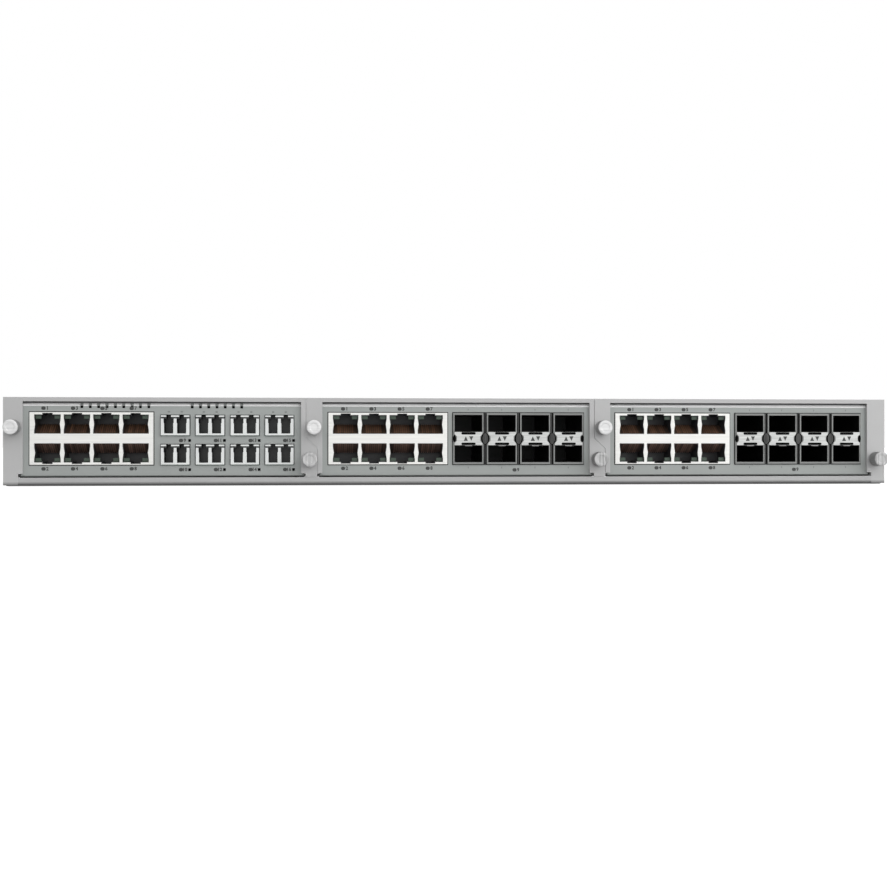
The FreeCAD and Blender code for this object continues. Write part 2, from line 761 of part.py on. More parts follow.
def module_plug(slot, mark):
    """Plug at the back of the board, whose nose enters the backplane's socket."""
    body = new_body(f"module_plug_{mark}", x=slot_x(slot))
    pad(body, "top", "board_top", "bus_height",
        rectangle("-bus_width / 2", "bus_width / 2", "board_back - bus_depth", "board_back + bus_nose"))


def socket_outline(margin="0"):
    """Mouth of the first jack of the upper row, with the latch's notch above it."""
    middle = "(-1.5 * socket_pitch)"
    half = f"(socket_half - {margin})"
    key = f"(key_half - {margin})"
    low = f"(socket_inner + {margin})"
    high = f"(socket_outer - {margin})"
    crown = f"(socket_outer + key_height - {margin})"
    return [(f"{middle} - {half}", low), (f"{middle} + {half}", low), (f"{middle} + {half}", high),
            (f"{middle} + {key}", high), (f"{middle} + {key}", crown), (f"{middle} - {key}", crown),
            (f"{middle} - {key}", high), (f"{middle} - {half}", high)]


def sprung_outline():
    """The shield's mouth, pinched at both sides by its springs."""
    corners = socket_outline()
    middle = "(-1.5 * socket_pitch)"
    centre = "(socket_inner + socket_height / 2)"
    bulge = [("socket_half", f"{centre} - spring_half"), ("socket_half - spring_depth", centre),
             ("socket_half", f"{centre} + spring_half")]
    right = [(f"{middle} + ({reach})", height) for reach, height in bulge]
    left = [(f"{middle} - ({reach})", height) for reach, height in bulge]
    return corners[:2] + right + corners[2:] + left[::-1]


def jack_body(label, slot, mark, setback="0"):
    """A body with its origin at the middle of the jack block's front."""
    return new_body(f"{label}_{mark}", x=f"{slot_x(slot)} + jack_centre",
                    y=f"plate_front - jack_proud + {setback}", z="board_top + jack_height / 2")


def jack_shield(slot, mark):
    """Metal shield round the stacked jacks, open below."""
    body = jack_body("jack_shield", slot, mark)
    half, rise = "jack_width / 2", "jack_height / 2"
    pad(body, "front", "0", "jack_depth", rectangle(f"-{half}", half, f"-{rise}", rise))
    pocket(body, "top", f"-{rise}", "jack_height - shield_wall", rectangle(
        f"-{half} + shield_wall", f"{half} - shield_wall", "shield_wall", "jack_depth - shield_wall"))
    mouth = pocket(body, "front", "0", "shield_wall", polygon(*sprung_outline()))
    repeat_stack(body, [mouth], "socket_pitch", COLUMNS)


def jack_housing(slot, mark):
    """Moulded housing with two rows of jacks, back to back."""
    body = jack_body("jack_housing", slot, mark, setback="shield_wall + fit_gap")
    half = "(jack_width / 2 - shield_wall - fit_gap)"
    pad(body, "front", "0", "jack_depth - 2 * shield_wall - 2 * fit_gap",
        rectangle(f"-{half}", half, "-jack_height / 2", "jack_height / 2 - shield_wall - fit_gap"))
    mouth = pocket(body, "front", "0", "socket_depth", polygon(*socket_outline("socket_lip")))
    repeat_stack(body, [mouth], "socket_pitch", COLUMNS)


def jack_inserts(slot, mark):
    """Sloping beds that carry the contacts of each jack."""
    body = jack_body("jack_inserts", slot, mark, setback="shield_wall + fit_gap")
    low = "socket_inner + socket_lip"
    bed = pad(body, "side", "-1.5 * socket_pitch - insert_width / 2", "insert_width", polygon(
        ("insert_start", low), ("socket_depth", low), ("socket_depth", f"{low} + insert_rise")))
    repeat_stack(body, [bed], "socket_pitch", COLUMNS)


def cage_block(slot, mark):
    """Stacked transceiver cages side by side."""
    body = new_body(f"cage_block_{mark}", x=f"{slot_x(slot)} + {column_x(0)}", y="plate_front - cage_proud",
                    z="board_top + cage_height / 2")
    half, rise = "cage_width / 2", "cage_height / 2"
    pad(body, "front", "0", "cage_depth", *[
        rectangle(f"{column} * cage_pitch - {half}", f"{column} * cage_pitch + {half}", f"-{rise}", rise)
        for column in range(COLUMNS)])
    mouth = pocket(body, "front", "0", "port_depth", rectangle(
        "-port_width / 2", "port_width / 2", "port_inner", "port_inner + port_height"))
    hollow = pocket(body, "front", "0", "latch_recess", rectangle(
        "-latch_half - latch_slot", "latch_half + latch_slot",
        "0", "port_inner - latch_inset + latch_slot / 2"))
    repeat_stack(body, [mouth, hollow], "cage_pitch", COLUMNS)


def cage_plates(slot, mark):
    """Light plates between the two mouths of each cage, with a latch slot towards each mouth."""
    body = new_body(f"cage_plates_{mark}", x=f"{slot_x(slot)} + {column_x(0)}",
                    y="plate_front - cage_proud - plate_thick", z="board_top + cage_height / 2")
    half, rise = "port_width / 2", "port_inner"
    hump = "(port_inner + latch_rise)"
    shoulder = "(latch_half + latch_rise)"
    plate = pad(body, "front", "0", "plate_thick", polygon(
        (f"-{half}", f"-{rise}"), (f"-{shoulder}", f"-{rise}"), ("-latch_half", f"-{hump}"),
        ("latch_half", f"-{hump}"), (shoulder, f"-{rise}"), (half, f"-{rise}"), (half, "-notch_half"),
        (f"{half} - notch_depth", "-notch_half / 2"), (f"{half} - notch_depth", "notch_half / 2"),
        (half, "notch_half"), (half, rise), (shoulder, rise), ("latch_half", hump),
        ("-latch_half", hump), (f"-{shoulder}", rise), (f"-{half}", rise), (f"-{half}", "notch_half"),
        (f"notch_depth - {half}", "notch_half / 2"), (f"notch_depth - {half}", "-notch_half / 2"),
        (f"-{half}", "-notch_half")))
    slots = [rectangle("-latch_half", "latch_half", f"{side} (port_inner - latch_inset) - latch_slot / 2",
                       f"{side} (port_inner - latch_inset) + latch_slot / 2") for side in ("-", "+")]
    slits = pocket(body, "front", "0", "plate_thick", *slots)
    stack = body.newObject("PartDesign::MultiTransform", f"{body.Name}_plates")
    stack.Originals = [plate, slits]
    stack.Transformations = [row_of(body, "cage_pitch", COLUMNS)]
    body.Tip = stack


def fibre_receptacles(slot, mark):
    """Two rows of duplex fibre receptacles."""
    body = new_body(f"fibre_receptacles_{mark}", x=f"{slot_x(slot)} + {column_x(0)}",
                    y="plate_front - fibre_proud", z="board_top + fibre_height / 2")
    half, rise = "fibre_width / 2", "fibre_height / 2"
    spots = [(f"{column} * cage_pitch", f"{level} * fibre_rise")
             for level in (0, 1) for column in range(COLUMNS)]
    pad(body, "front", "0", "fibre_depth", *[
        rectangle(f"{x} - {half}", f"{x} + {half}", f"{z} - {rise}", f"{z} + {rise}") for x, z in spots])
    low, high = f"(bore_floor - {rise})", f"({rise} - tab_height - flap_height)"
    step, crown = f"({high} - shoulder_height)", f"({rise} + tab_height)"
    half_path = [("bore_width", low), ("bore_width", step), ("shoulder_width", step),
                 ("shoulder_width", high), ("hook_width", high), ("hook_width", crown)]
    mouths = []
    for side in ("-", "+"):
        right = [(f"{side} bore_pitch / 2 + {width} / 2", height) for width, height in half_path]
        left = [(f"{side} bore_pitch / 2 - {width} / 2", height) for width, height in half_path]
        mouths.append(polygon(*right, *left[::-1]))
    pair = pocket(body, "front", "0", "bore_depth", *mouths)
    slit = pocket(body, "front", "0", "flap_depth",
                  rectangle(f"-{half}", half, high, f"{high} + flap_height"))
    grid = body.newObject("PartDesign::MultiTransform", f"{body.Name}_grid")
    grid.Originals = [pair, slit]
    grid.Transformations = [row_of(body, "cage_pitch", COLUMNS), row_of(body, "fibre_rise", 2, "Z_Axis")]
    body.Tip = grid


def upper_board(slot, mark):
    """Small board that carries the upper row of receptacles, and its posts."""
    half = "(1.5 * cage_pitch + fibre_width / 2)"
    middle = f"({column_x(0)} + 1.5 * cage_pitch)"
    low = "(board_top + fibre_rise - board_wall)"
    body = new_body(f"upper_board_{mark}", x=f"{slot_x(slot)} + {middle}")
    pad(body, "top", low, "board_wall",
        rectangle(f"-{half}", half, "board_front", "board_front + upper_board_depth"))
    posts = new_body(f"upper_board_posts_{mark}", x=f"{slot_x(slot)} + {middle}")
    clear = "plate_front - fibre_proud + fibre_depth + 2 * upper_post_radius"
    back = "board_front + upper_board_depth - upper_post_radius"
    pad(posts, "top", "board_top", f"{low} - board_top", *[
        hexagon(f"{sign}({half} - upper_post_radius)", y, "upper_post_radius") for sign in ("-", "")
        for y in (clear, back)])


def status_lights(slot, mark):
    """Light pipes: two combs along the top of the port plate, and a peg at each receptacle."""
    body = new_body(f"status_lights_{mark}", x=slot_x(slot))
    low = "plate_top - light_drop"
    half = "(light_width / 2 - fit_gap)"
    groups = light_places()
    bar_top = "plate_top - module_wall - side_gap"
    pad(body, "front", "plate_back", "module_wall", *[
        rectangle(f"{group[0]} - light_width", f"{group[-1]} + light_width", f"{low} - light_width", bar_top)
        for group in groups])
    pad(body, "front", "plate_front + side_gap", "module_wall", *[
        rectangle(f"{x} - {half}", f"{x} + {half}", f"{low} + fit_gap", bar_top)
        for group in groups for x in group])
    pad(body, "front", "plate_front", "2 * module_wall",
        *[square(x, z, "light_width / 2 - fit_gap") for x, z in dot_places()])


def thumbscrew(label, x, z):
    """Turned knob with a threaded shank that runs through the panel into a post."""
    body = new_body(label, x=x, y="front", z=z)
    turn(body, polygon(
        ("-knob_reach", "0"), ("-knob_reach", "knob_radius"), ("-knob_stand", "knob_radius"),
        ("-knob_stand", "thread_radius"), ("thread_reach", "thread_radius"), ("thread_reach", "0")))


def build():
    """Make every sub-part."""
    base_tray()
    top_cover()
    front_posts()
    divider("divider_left", "-half_pitch")
    divider("divider_right", "half_pitch")
    card_guides()
    backplane()
    backplane_sockets()
    power_supply()
    power_inlet()
    fan_frame()
    fan_rotor()
    for mark, slot in enumerate(SLOTS, start=1):
        front_panel(slot, mark)
        module_tray(slot, mark)
        module_board(slot, mark)
        module_plug(slot, mark)
        jack_shield(slot, mark)
        jack_housing(slot, mark)
        jack_inserts(slot, mark)
        if slot == SLOTS[0]:
            fibre_receptacles(slot, mark)
            upper_board(slot, mark)
            status_lights(slot, mark)
        else:
            cage_block(slot, mark)
            cage_plates(slot, mark)
        for level, (x, z) in thumbscrew_places(slot).items():
            thumbscrew(f"thumbscrew_{level}_{mark}", x, z)


def export():
    """Check the finished document and write each sub-part to its own file."""
    doc.recompute()
    failed = [item.Name for item in doc.Objects if {"Invalid", "Error"} & set(item.State)]
    failed += [body.Label for body in pieces if body.Shape.isNull() or not body.Shape.isValid()]
    if failed:
        raise RuntimeError(f"These did not build: {failed}")
    os.makedirs("parts", exist_ok=True)
    for body in pieces:
        body.Shape.exportStep(f"parts/{body.Label}.step")
    print(f"{len(pieces)} sub-parts, {2 * number('half_width'):.1f} x {number('chassis_depth'):.1f}"
          f" x {number('chassis_height'):.1f} mm")


build()
export()
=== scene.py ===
# %% [markdown]
# # A rack-width network unit with three plug-in modules
#
# The solids come from CAD: a sheet-metal chassis, three modules with their ports, and six thumbscrews. This lesson
# dresses them. It gives every solid a finish built from nodes, and adds the small things that a solid model leaves
# out: contact wires, lamp windows, knurled knobs, springs, printed marks, screws and the parts on the boards.

# %% Load the solids
import json
import math

import bmesh
import bpy
from mathutils import Matrix, Vector


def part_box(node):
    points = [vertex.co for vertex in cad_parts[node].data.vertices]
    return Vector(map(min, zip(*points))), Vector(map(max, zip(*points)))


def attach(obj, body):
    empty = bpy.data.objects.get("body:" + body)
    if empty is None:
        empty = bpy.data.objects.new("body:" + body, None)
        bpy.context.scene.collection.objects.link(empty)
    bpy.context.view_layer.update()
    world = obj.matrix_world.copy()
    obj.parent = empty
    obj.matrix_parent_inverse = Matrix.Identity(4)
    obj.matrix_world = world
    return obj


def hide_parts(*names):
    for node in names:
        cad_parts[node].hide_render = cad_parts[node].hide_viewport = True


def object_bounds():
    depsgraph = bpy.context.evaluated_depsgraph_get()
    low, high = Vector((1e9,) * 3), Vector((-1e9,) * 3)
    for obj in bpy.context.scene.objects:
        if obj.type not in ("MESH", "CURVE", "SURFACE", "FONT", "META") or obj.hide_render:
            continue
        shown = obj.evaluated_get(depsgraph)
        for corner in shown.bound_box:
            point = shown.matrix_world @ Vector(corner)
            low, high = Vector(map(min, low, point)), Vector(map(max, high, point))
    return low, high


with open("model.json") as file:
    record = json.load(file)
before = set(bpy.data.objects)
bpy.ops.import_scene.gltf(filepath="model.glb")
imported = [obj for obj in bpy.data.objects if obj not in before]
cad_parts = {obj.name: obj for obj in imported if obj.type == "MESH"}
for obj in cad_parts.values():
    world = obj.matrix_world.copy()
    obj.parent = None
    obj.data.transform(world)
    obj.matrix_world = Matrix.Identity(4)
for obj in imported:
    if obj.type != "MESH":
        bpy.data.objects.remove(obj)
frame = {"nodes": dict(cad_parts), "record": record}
cad_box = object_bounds()
nodes = frame["nodes"]
MM = 0.001
MODULES = (1, 2, 3)
CAGE_MODULES = (2, 3)
COLUMNS = range(4)
print(len(nodes), "solids loaded")


# %% [markdown]
# ## Helpers for new pieces
#
# A new piece is shaped in a bmesh with its place already in its vertices, because every object stays at the origin.
# One helper turns a bmesh into a finished piece that rides on a body of the unit. Two more add the shapes that most
# small parts start from: a box between two corners, and a turned part that is spun from its half section.

# %% Piece helpers
MERGE = 1e-7
SHARP_ANGLE = math.radians(35)


def finish_piece(name, bm, body, material, smooth=False):
    """Make an object of a bmesh, let it ride on a body and give it its finish."""
    bmesh.ops.remove_doubles(bm, verts=bm.verts, dist=MERGE)
    bmesh.ops.recalc_face_normals(bm, faces=bm.faces)
    mesh = bpy.data.meshes.new(name)
    bm.to_mesh(mesh)
    bm.free()
    if smooth:
        mesh.shade_smooth()
        mesh.set_sharp_from_angle(angle=SHARP_ANGLE)
    piece = bpy.data.objects.new(name, mesh)
    bpy.context.scene.collection.objects.link(piece)
    mesh.materials.append(material)
    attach(piece, body)
    print(f"{name}: {len(mesh.polygons)} faces")
    return piece


def add_box(bm, low, high, turn=None, soften=0.0):
    """Add a box between two corners, turned about its middle and softened if asked."""
    low, high = Vector(low), Vector(high)
    place = Matrix.Translation((low + high) / 2) @ (turn or Matrix.Identity(4))
    made = bmesh.ops.create_cube(bm, size=1.0)["verts"]
    bmesh.ops.transform(bm, matrix=place @ Matrix.Diagonal((*(high - low), 1.0)), verts=made)
    if soften:
        edges = list({edge for vert in made for edge in vert.link_edges})
        bmesh.ops.bevel(bm, geom=edges, offset=soften, affect="EDGES", segments=2, profile=0.5, material=-1)


def add_turned(bm, half_section, centre, axis, steps=24):
    """Spin a half section of (along, radius) pairs about an axis through a point."""
    centre, axis = Vector(centre), Vector(axis)
    across = axis.orthogonal().normalized()
    verts = [bm.verts.new(centre + along * axis + radius * across) for along, radius in half_section]
    edges = [bm.edges.new(pair) for pair in zip(verts, verts[1:])]
    bmesh.ops.spin(bm, geom=verts + edges, cent=centre, axis=axis, angle=math.tau, steps=steps, use_merge=True)


def middle(node):
    """The middle of a solid's box."""
    low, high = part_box(node)
    return (low + high) / 2


# %% [markdown]
# ## Effects that several finishes share
#
# Real surfaces are never one flat colour. Four kinds of node group give the variation that this unit's finishes
# need: the fine skin of powder paint and moulded plastic, the long scratches of rolled sheet, the light line where a
# corner has lost some paint, and a mask for the inside of a hollow solid, because little light reaches the back of a
# port. They put out masks and heights only, and each finish mixes them itself.

# %% Node helpers
def new_group(name, inputs, outputs):
    """Start a shader node group with float inputs and outputs."""
    group = bpy.data.node_groups.new(name, "ShaderNodeTree")
    for label, value in inputs.items():
        socket = group.interface.new_socket(label, in_out="INPUT", socket_type="NodeSocketFloat")
        socket.default_value = value
    for label in outputs:
        group.interface.new_socket(label, in_out="OUTPUT", socket_type="NodeSocketFloat")
    return group, group.nodes.new("NodeGroupInput"), group.nodes.new("NodeGroupOutput")


def feed(tree, value, socket):
    """Give a socket a plain number or a link."""
    if isinstance(value, (int, float)):
        socket.default_value = value
    else:
        tree.links.new(value, socket)


def math_node(tree, operation, first, second):
    """Add a Math node whose operands are sockets or plain numbers."""
    node = tree.nodes.new("ShaderNodeMath")
    node.operation = operation
    feed(tree, first, node.inputs[0])
    feed(tree, second, node.inputs[1])
    return node.outputs["Value"]


def noise_node(tree, vector, scale, detail):
    """Add a Noise texture whose scale is a socket or a plain number."""
    node = tree.nodes.new("ShaderNodeTexNoise")
    node.inputs["Detail"].default_value = detail
    tree.links.new(vector, node.inputs["Vector"])
    feed(tree, scale, node.inputs["Scale"])
    return node.outputs["Fac"]


def object_place(tree):
    """The Object coordinates, which move with the piece."""
    return tree.nodes.new("ShaderNodeTexCoord").outputs["Object"]


def object_axis(tree, axis):
    """One of the three Object coordinates."""
    split = tree.nodes.new("ShaderNodeSeparateXYZ")
    tree.links.new(object_place(tree), split.inputs["Vector"])
    return split.outputs[axis]


# %% Node groups
def make_skin_group():
    """Fine skin: a small grain, and a slow drift of tone."""
    group, inside, outside = new_group("fine skin", {"Grain": 2200.0, "Drift": 35.0}, ("Grain", "Drift"))
    place = object_place(group)
    group.links.new(noise_node(group, place, inside.outputs["Grain"], 2.0), outside.inputs["Grain"])
    group.links.new(noise_node(group, place, inside.outputs["Drift"], 3.0), outside.inputs["Drift"])
    return group


def make_rolled_group(name, stretch):
    """Rolled sheet: noise drawn out along an axis."""
    group, inside, outside = new_group(name, {"Lines": 900.0}, ("Lines",))
    mapping = group.nodes.new("ShaderNodeMapping")
    mapping.inputs["Scale"].default_value = stretch
    group.links.new(object_place(group), mapping.inputs["Vector"])
    lines = noise_node(group, mapping.outputs["Vector"], inside.outputs["Lines"], 3.0)
    group.links.new(lines, outside.inputs["Lines"])
    return group


def make_corner_group():
    """Worn corners: how far a rounded corner's normal leans away from the face's own."""
    group, inside, outside = new_group("worn corners", {"Radius": 0.0003, "Break up": 600.0}, ("Wear",))
    bevel = group.nodes.new("ShaderNodeBevel")
    bevel.samples = 4
    group.links.new(inside.outputs["Radius"], bevel.inputs["Radius"])
    lean = group.nodes.new("ShaderNodeVectorMath")
    lean.operation = "DOT_PRODUCT"
    group.links.new(bevel.outputs["Normal"], lean.inputs[0])
    group.links.new(group.nodes.new("ShaderNodeNewGeometry").outputs["True Normal"], lean.inputs[1])
    edge = math_node(group, "SUBTRACT", 1.0, lean.outputs["Value"])
    patches = noise_node(group, object_place(group), inside.outputs["Break up"], 2.0)
    group.links.new(math_node(group, "MULTIPLY", edge, patches), outside.inputs["Wear"])
    return group


def make_cavity_group():
    """Cavity: from 0 at a front plane to 1 at a certain reach behind it, but 0 on the outside of a box."""
    limits = {"Front": 0.0, "Reach": 0.001, "Left": -1.0, "Right": 1.0, "Foot": -1.0, "Top": 1.0, "Back": 1.0}
    group, inside, outside = new_group("cavity", limits, ("Mask",))
    behind = math_node(group, "SUBTRACT", object_axis(group, "Y"), inside.outputs["Front"])
    share = math_node(group, "DIVIDE", behind, inside.outputs["Reach"])
    mask = math_node(group, "MINIMUM", math_node(group, "MAXIMUM", share, 0.0), 1.0)
    for axis, operation, limit in (("X", "GREATER_THAN", "Left"), ("X", "LESS_THAN", "Right"),
                                   ("Z", "GREATER_THAN", "Foot"), ("Z", "LESS_THAN", "Top"),
                                   ("Y", "LESS_THAN", "Back")):
        within = math_node(group, operation, object_axis(group, axis), inside.outputs[limit])
        mask = math_node(group, "MULTIPLY", mask, within)
    group.links.new(mask, outside.inputs["Mask"])
    return group


SKIN, CORNERS, CAVITY = make_skin_group(), make_corner_group(), make_cavity_group()
ROLLED = make_rolled_group("rolled sheet", (0.04, 1.0, 1.0))
STREAKS = make_rolled_group("upright streaks", (1.0, 1.0, 0.05))
DRAWN = make_rolled_group("drawn wire", (1.0, 0.03, 0.03))
print("node groups:", [group.name for group in bpy.data.node_groups])


# %% [markdown]
# ## Finishes
#
# A finish starts as a Principled shader with its plain numbers on the shader's own sockets. The groups then drive
# colour, roughness and bump. Colours are linear values: a light grey of 180 out of 255 on screen is 0.46 here.

# %% Finish helpers
BUMP_STRENGTH = 0.6
CAVITY_SKIN = 0.05 * MM


def new_finish(name, colour, roughness, metallic=0.0):
    """Start a material, and return it with its tree and its shader."""
    material = bpy.data.materials.new(name)
    material.use_nodes = True
    shader = material.node_tree.nodes["Principled BSDF"]
    shader.inputs["Base Color"].default_value = (*colour, 1.0)
    shader.inputs["Roughness"].default_value = roughness
    shader.inputs["Metallic"].default_value = metallic
    return material, material.node_tree, shader


def place_group(tree, group, **values):
    """Place a node group in a material with its own values."""
    node = tree.nodes.new("ShaderNodeGroup")
    node.node_tree = group
    for label, value in values.items():
        node.inputs[label].default_value = value
    return node


def mix_colour(tree, factor, start, end):
    """Mix two colours, each a colour or a socket, by a mask."""
    node = tree.nodes.new("ShaderNodeMix")
    node.data_type = "RGBA"
    tree.links.new(factor, node.inputs[0])
    for socket, value in ((node.inputs[6], start), (node.inputs[7], end)):
        if isinstance(value, tuple):
            socket.default_value = (*value, 1.0)
        else:
            tree.links.new(value, socket)
    return node.outputs[2]


def span(tree, value, start, end, low=0.0, high=1.0):
    """Bring a mask from one range to another."""
    node = tree.nodes.new("ShaderNodeMapRange")
    for label, number in (("From Min", low), ("From Max", high), ("To Min", start), ("To Max", end)):
        node.inputs[label].default_value = number
    tree.links.new(value, node.inputs["Value"])
    return node.outputs["Result"]


def add_bump(tree, shader, height, depth):
    """Raise the surface by a height mask, in metres at its full value."""
    bump = tree.nodes.new("ShaderNodeBump")
    bump.inputs["Strength"].default_value = BUMP_STRENGTH
    bump.inputs["Distance"].default_value = depth
    tree.links.new(height, bump.inputs["Height"])
    tree.links.new(bump.outputs["Normal"], shader.inputs["Normal"])


def cavity_of(node, inset, reach):
    """The cavity group's values for a hollow solid, whose outside stays light."""
    low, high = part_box(node)
    return {"Front": low.y + inset, "Reach": reach, "Left": low.x + CAVITY_SKIN, "Right": high.x - CAVITY_SKIN,
            "Foot": low.z + CAVITY_SKIN, "Top": high.z - CAVITY_SKIN, "Back": high.y - CAVITY_SKIN}


def darken_cavity(tree, tone, cavity_shade):
    """Mix a colour to a dark one in a cavity, as painted shade."""
    limits, dark = cavity_shade
    mask = place_group(tree, CAVITY, **limits).outputs["Mask"]
    return mix_colour(tree, mask, tone, dark)


def scaled(colour, factor):
    """A colour made lighter or darker."""
    return tuple(min(1.0, part * factor) for part in colour)


# %% [markdown]
# Painted sheet has a fine orange-peel skin, a tone that drifts by a few hundredths, and corners that catch the
# light where the paint is thin. Two folds stand out in the photograph. Each could be a piece of its own, but a mask
# from Object coordinates is simpler. The port plates' top fold gets a near-white colour as a painted highlight, for
# the light it catches. The fold at the unit's foot faces the floor, and its paint is darkened there as painted shade.

# %% Painted sheet
PAINT_PEEL = 0.00003
PAINT_DARK, PAINT_LIGHT = 0.93, 1.07
PAINT_GLOSS = 0.07
WORN_RADIUS = 0.00035
WORN_GAIN, WORN_LIGHT = 1.6, 1.5


def painted_finish(name, colour, roughness=0.45):
    """Satin powder paint. Returns the colour's socket too, so that a fold can be mixed in."""
    material, tree, shader = new_finish(name, colour, roughness)
    skin = place_group(tree, SKIN, Grain=1800.0, Drift=24.0)
    tone = mix_colour(tree, skin.outputs["Drift"], scaled(colour, PAINT_DARK), scaled(colour, PAINT_LIGHT))
    corners = place_group(tree, CORNERS, Radius=WORN_RADIUS)
    wear = span(tree, corners.outputs["Wear"], 0.0, WORN_GAIN)
    tone = mix_colour(tree, wear, tone, scaled(colour, WORN_LIGHT))
    tree.links.new(tone, shader.inputs["Base Color"])
    gloss = span(tree, skin.outputs["Drift"], roughness - PAINT_GLOSS, roughness + PAINT_GLOSS)
    tree.links.new(gloss, shader.inputs["Roughness"])
    add_bump(tree, shader, skin.outputs["Grain"], PAINT_PEEL)
    return material, tree, shader, tone


# %% Painted highlight and shade on the folds
FOLD = 1.3 * MM
# Near-white for the port plates' top fold: a painted highlight.
FOLD_HIGHLIGHT = (0.92, 0.92, 0.92)
FOOT_SHADE = (0.7 * MM, 2.1 * MM)


def plate_finish(name, colour):
    """The port plates' paint, with a near-white painted highlight on their top fold."""
    material, tree, shader, tone = painted_finish(name, colour, 0.5)
    low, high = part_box("module_tray_2")
    above = math_node(tree, "GREATER_THAN", object_axis(tree, "Z"), high.z - FOLD)
    before = math_node(tree, "LESS_THAN", object_axis(tree, "Y"), low.y + FOLD)
    bright = math_node(tree, "MULTIPLY", above, before)
    tree.links.new(mix_colour(tree, bright, tone, FOLD_HIGHLIGHT), shader.inputs["Base Color"])
    return material


def footed_finish(name, colour, foot):
    """Paint that darkens towards the fold at the unit's foot, as painted shade."""
    material, tree, shader, tone = painted_finish(name, colour)
    shade = span(tree, object_axis(tree, "Z"), 1.0, 0.0, *FOOT_SHADE)
    tree.links.new(mix_colour(tree, shade, tone, foot), shader.inputs["Base Color"])
    return material


plate_paint = plate_finish("port plate paint", (0.345, 0.365, 0.355))
# The dark foot colours are painted shade along the lowest fold and the end panels' lower edge.
chassis_paint = footed_finish("chassis paint", (0.45, 0.45, 0.45), (0.08, 0.08, 0.08))
panel_paint = footed_finish("panel paint", (0.485, 0.485, 0.485), (0.17, 0.17, 0.17))
print("painted finishes:", chassis_paint.name, panel_paint.name, plate_paint.name)


# %% [markdown]
# Plated sheet and turned metal reflect the room, so most of their colour comes from the light. Rolled lines vary
# their roughness and give a faint bump, which keeps the reflection from looking like a mirror. The cavity mask
# paints shade: it darkens the inside of a cage or a shield, and a little the side of a knob.

# %% Metals
ROLLED_DEPTH = 0.000004
ROLLED_RANGE = (0.3, 0.7)
ROLLED_GLOSS = 0.1


def metal_finish(name, colour, roughness, metallic=0.85, lines=900.0, contrast=0.1, pattern=ROLLED, cavity_shade=None):
    """Plated metal with rolled lines, and painted shade in a cavity if one is given."""
    material, tree, shader = new_finish(name, colour, roughness, metallic)
    rolled = place_group(tree, pattern, Lines=lines)
    tone = mix_colour(tree, span(tree, rolled.outputs["Lines"], 0.0, 1.0, *ROLLED_RANGE),
                      scaled(colour, 1.0 - contrast), scaled(colour, 1.0 + contrast))
    if cavity_shade:
        tone = darken_cavity(tree, tone, cavity_shade)
    tree.links.new(tone, shader.inputs["Base Color"])
    gloss = span(tree, rolled.outputs["Lines"], roughness - ROLLED_GLOSS, roughness + ROLLED_GLOSS)
    tree.links.new(gloss, shader.inputs["Roughness"])
    add_bump(tree, shader, rolled.outputs["Lines"], ROLLED_DEPTH)
    return material


# %% Make the metals
# Painted shade: the cavity mask darkens the cage plates' deeper faces, the inside of shields and cages, a knob's side.
PLATE_SHADE = ({"Front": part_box("cage_plates_2")[0].y + 0.2 * MM, "Reach": 0.25 * MM}, (0.05, 0.05, 0.05))
KNOB_SIDE_SHADE = ({"Front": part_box("thumbscrew_upper_1")[0].y + 0.35 * MM, "Reach": 0.5 * MM}, (0.33, 0.33, 0.33))
zinc_sheet = metal_finish("zinc sheet", (0.55, 0.56, 0.57), 0.42)
bare_metal = metal_finish("bare metal", (0.6, 0.6, 0.6), 0.35)
shield_metals = [metal_finish(f"shield tin plate {module}", (0.79, 0.79, 0.765), 0.4, 0.2, contrast=0.06,
                              cavity_shade=(cavity_of(f"jack_shield_{module}", 0.2 * MM, 0.4 * MM), (0.03, 0.03, 0.03)))
                 for module in MODULES]
cage_metals = [metal_finish(f"cage sheet {module}", (0.2, 0.205, 0.2), 0.45, 0.3,
                            cavity_shade=(cavity_of(f"cage_block_{module}", 0.2 * MM, 0.6 * MM), (0.006, 0.0065, 0.0065)))
               for module in CAGE_MODULES]
plate_tin = metal_finish("cage plate tin", (0.55, 0.56, 0.55), 0.45, 0.2, 2600.0, 0.16, cavity_shade=PLATE_SHADE)
# Upper knobs: a lighter copy of the knob metal as a painted highlight. Lower knobs: a darker copy as painted shade.
knob_highlit = metal_finish("highlit knob", (0.68, 0.68, 0.68), 0.35, 0.2, 1400.0, 0.12, cavity_shade=KNOB_SIDE_SHADE)
knob_shaded = metal_finish("shaded streaked knob", (0.42, 0.42, 0.42), 0.45, 0.2, 1100.0, 0.45, STREAKS, KNOB_SIDE_SHADE)
# Dark colours for the spring strip, the dimple and the latch lip: painted shade in and around the cage gaps.
spring_shaded = metal_finish("shaded spring strip", (0.06, 0.06, 0.06), 0.5, 0.3)
dimple_shaded = metal_finish("shaded spring dimple", (0.042, 0.042, 0.041), 0.6, 0.2, 1500.0, 0.8, STREAKS)
latch_lip_shaded = metal_finish("shaded latch lip", (0.2, 0.2, 0.197), 0.5, 0.2, 2600.0, 0.3)
print("metals made")


# %% [markdown]
# Moulded plastic has a fine spark-eroded grain. The circuit boards carry tracks below their green resist: a brick
# pattern of long, thin cells makes a plausible net of lines, only seen when a module is drawn out.

# %% Plastics and boards
MOULD_GRAIN = 0.00002
MOULD_DARK, MOULD_LIGHT = 0.85, 1.15
MOULD_GLOSS = 0.08
WIRE_DEPTH = 0.00001
WIRE_RANGE = (0.35, 0.65)
WIRE_DARK = 0.4
TRACK_DEPTH = 0.00003


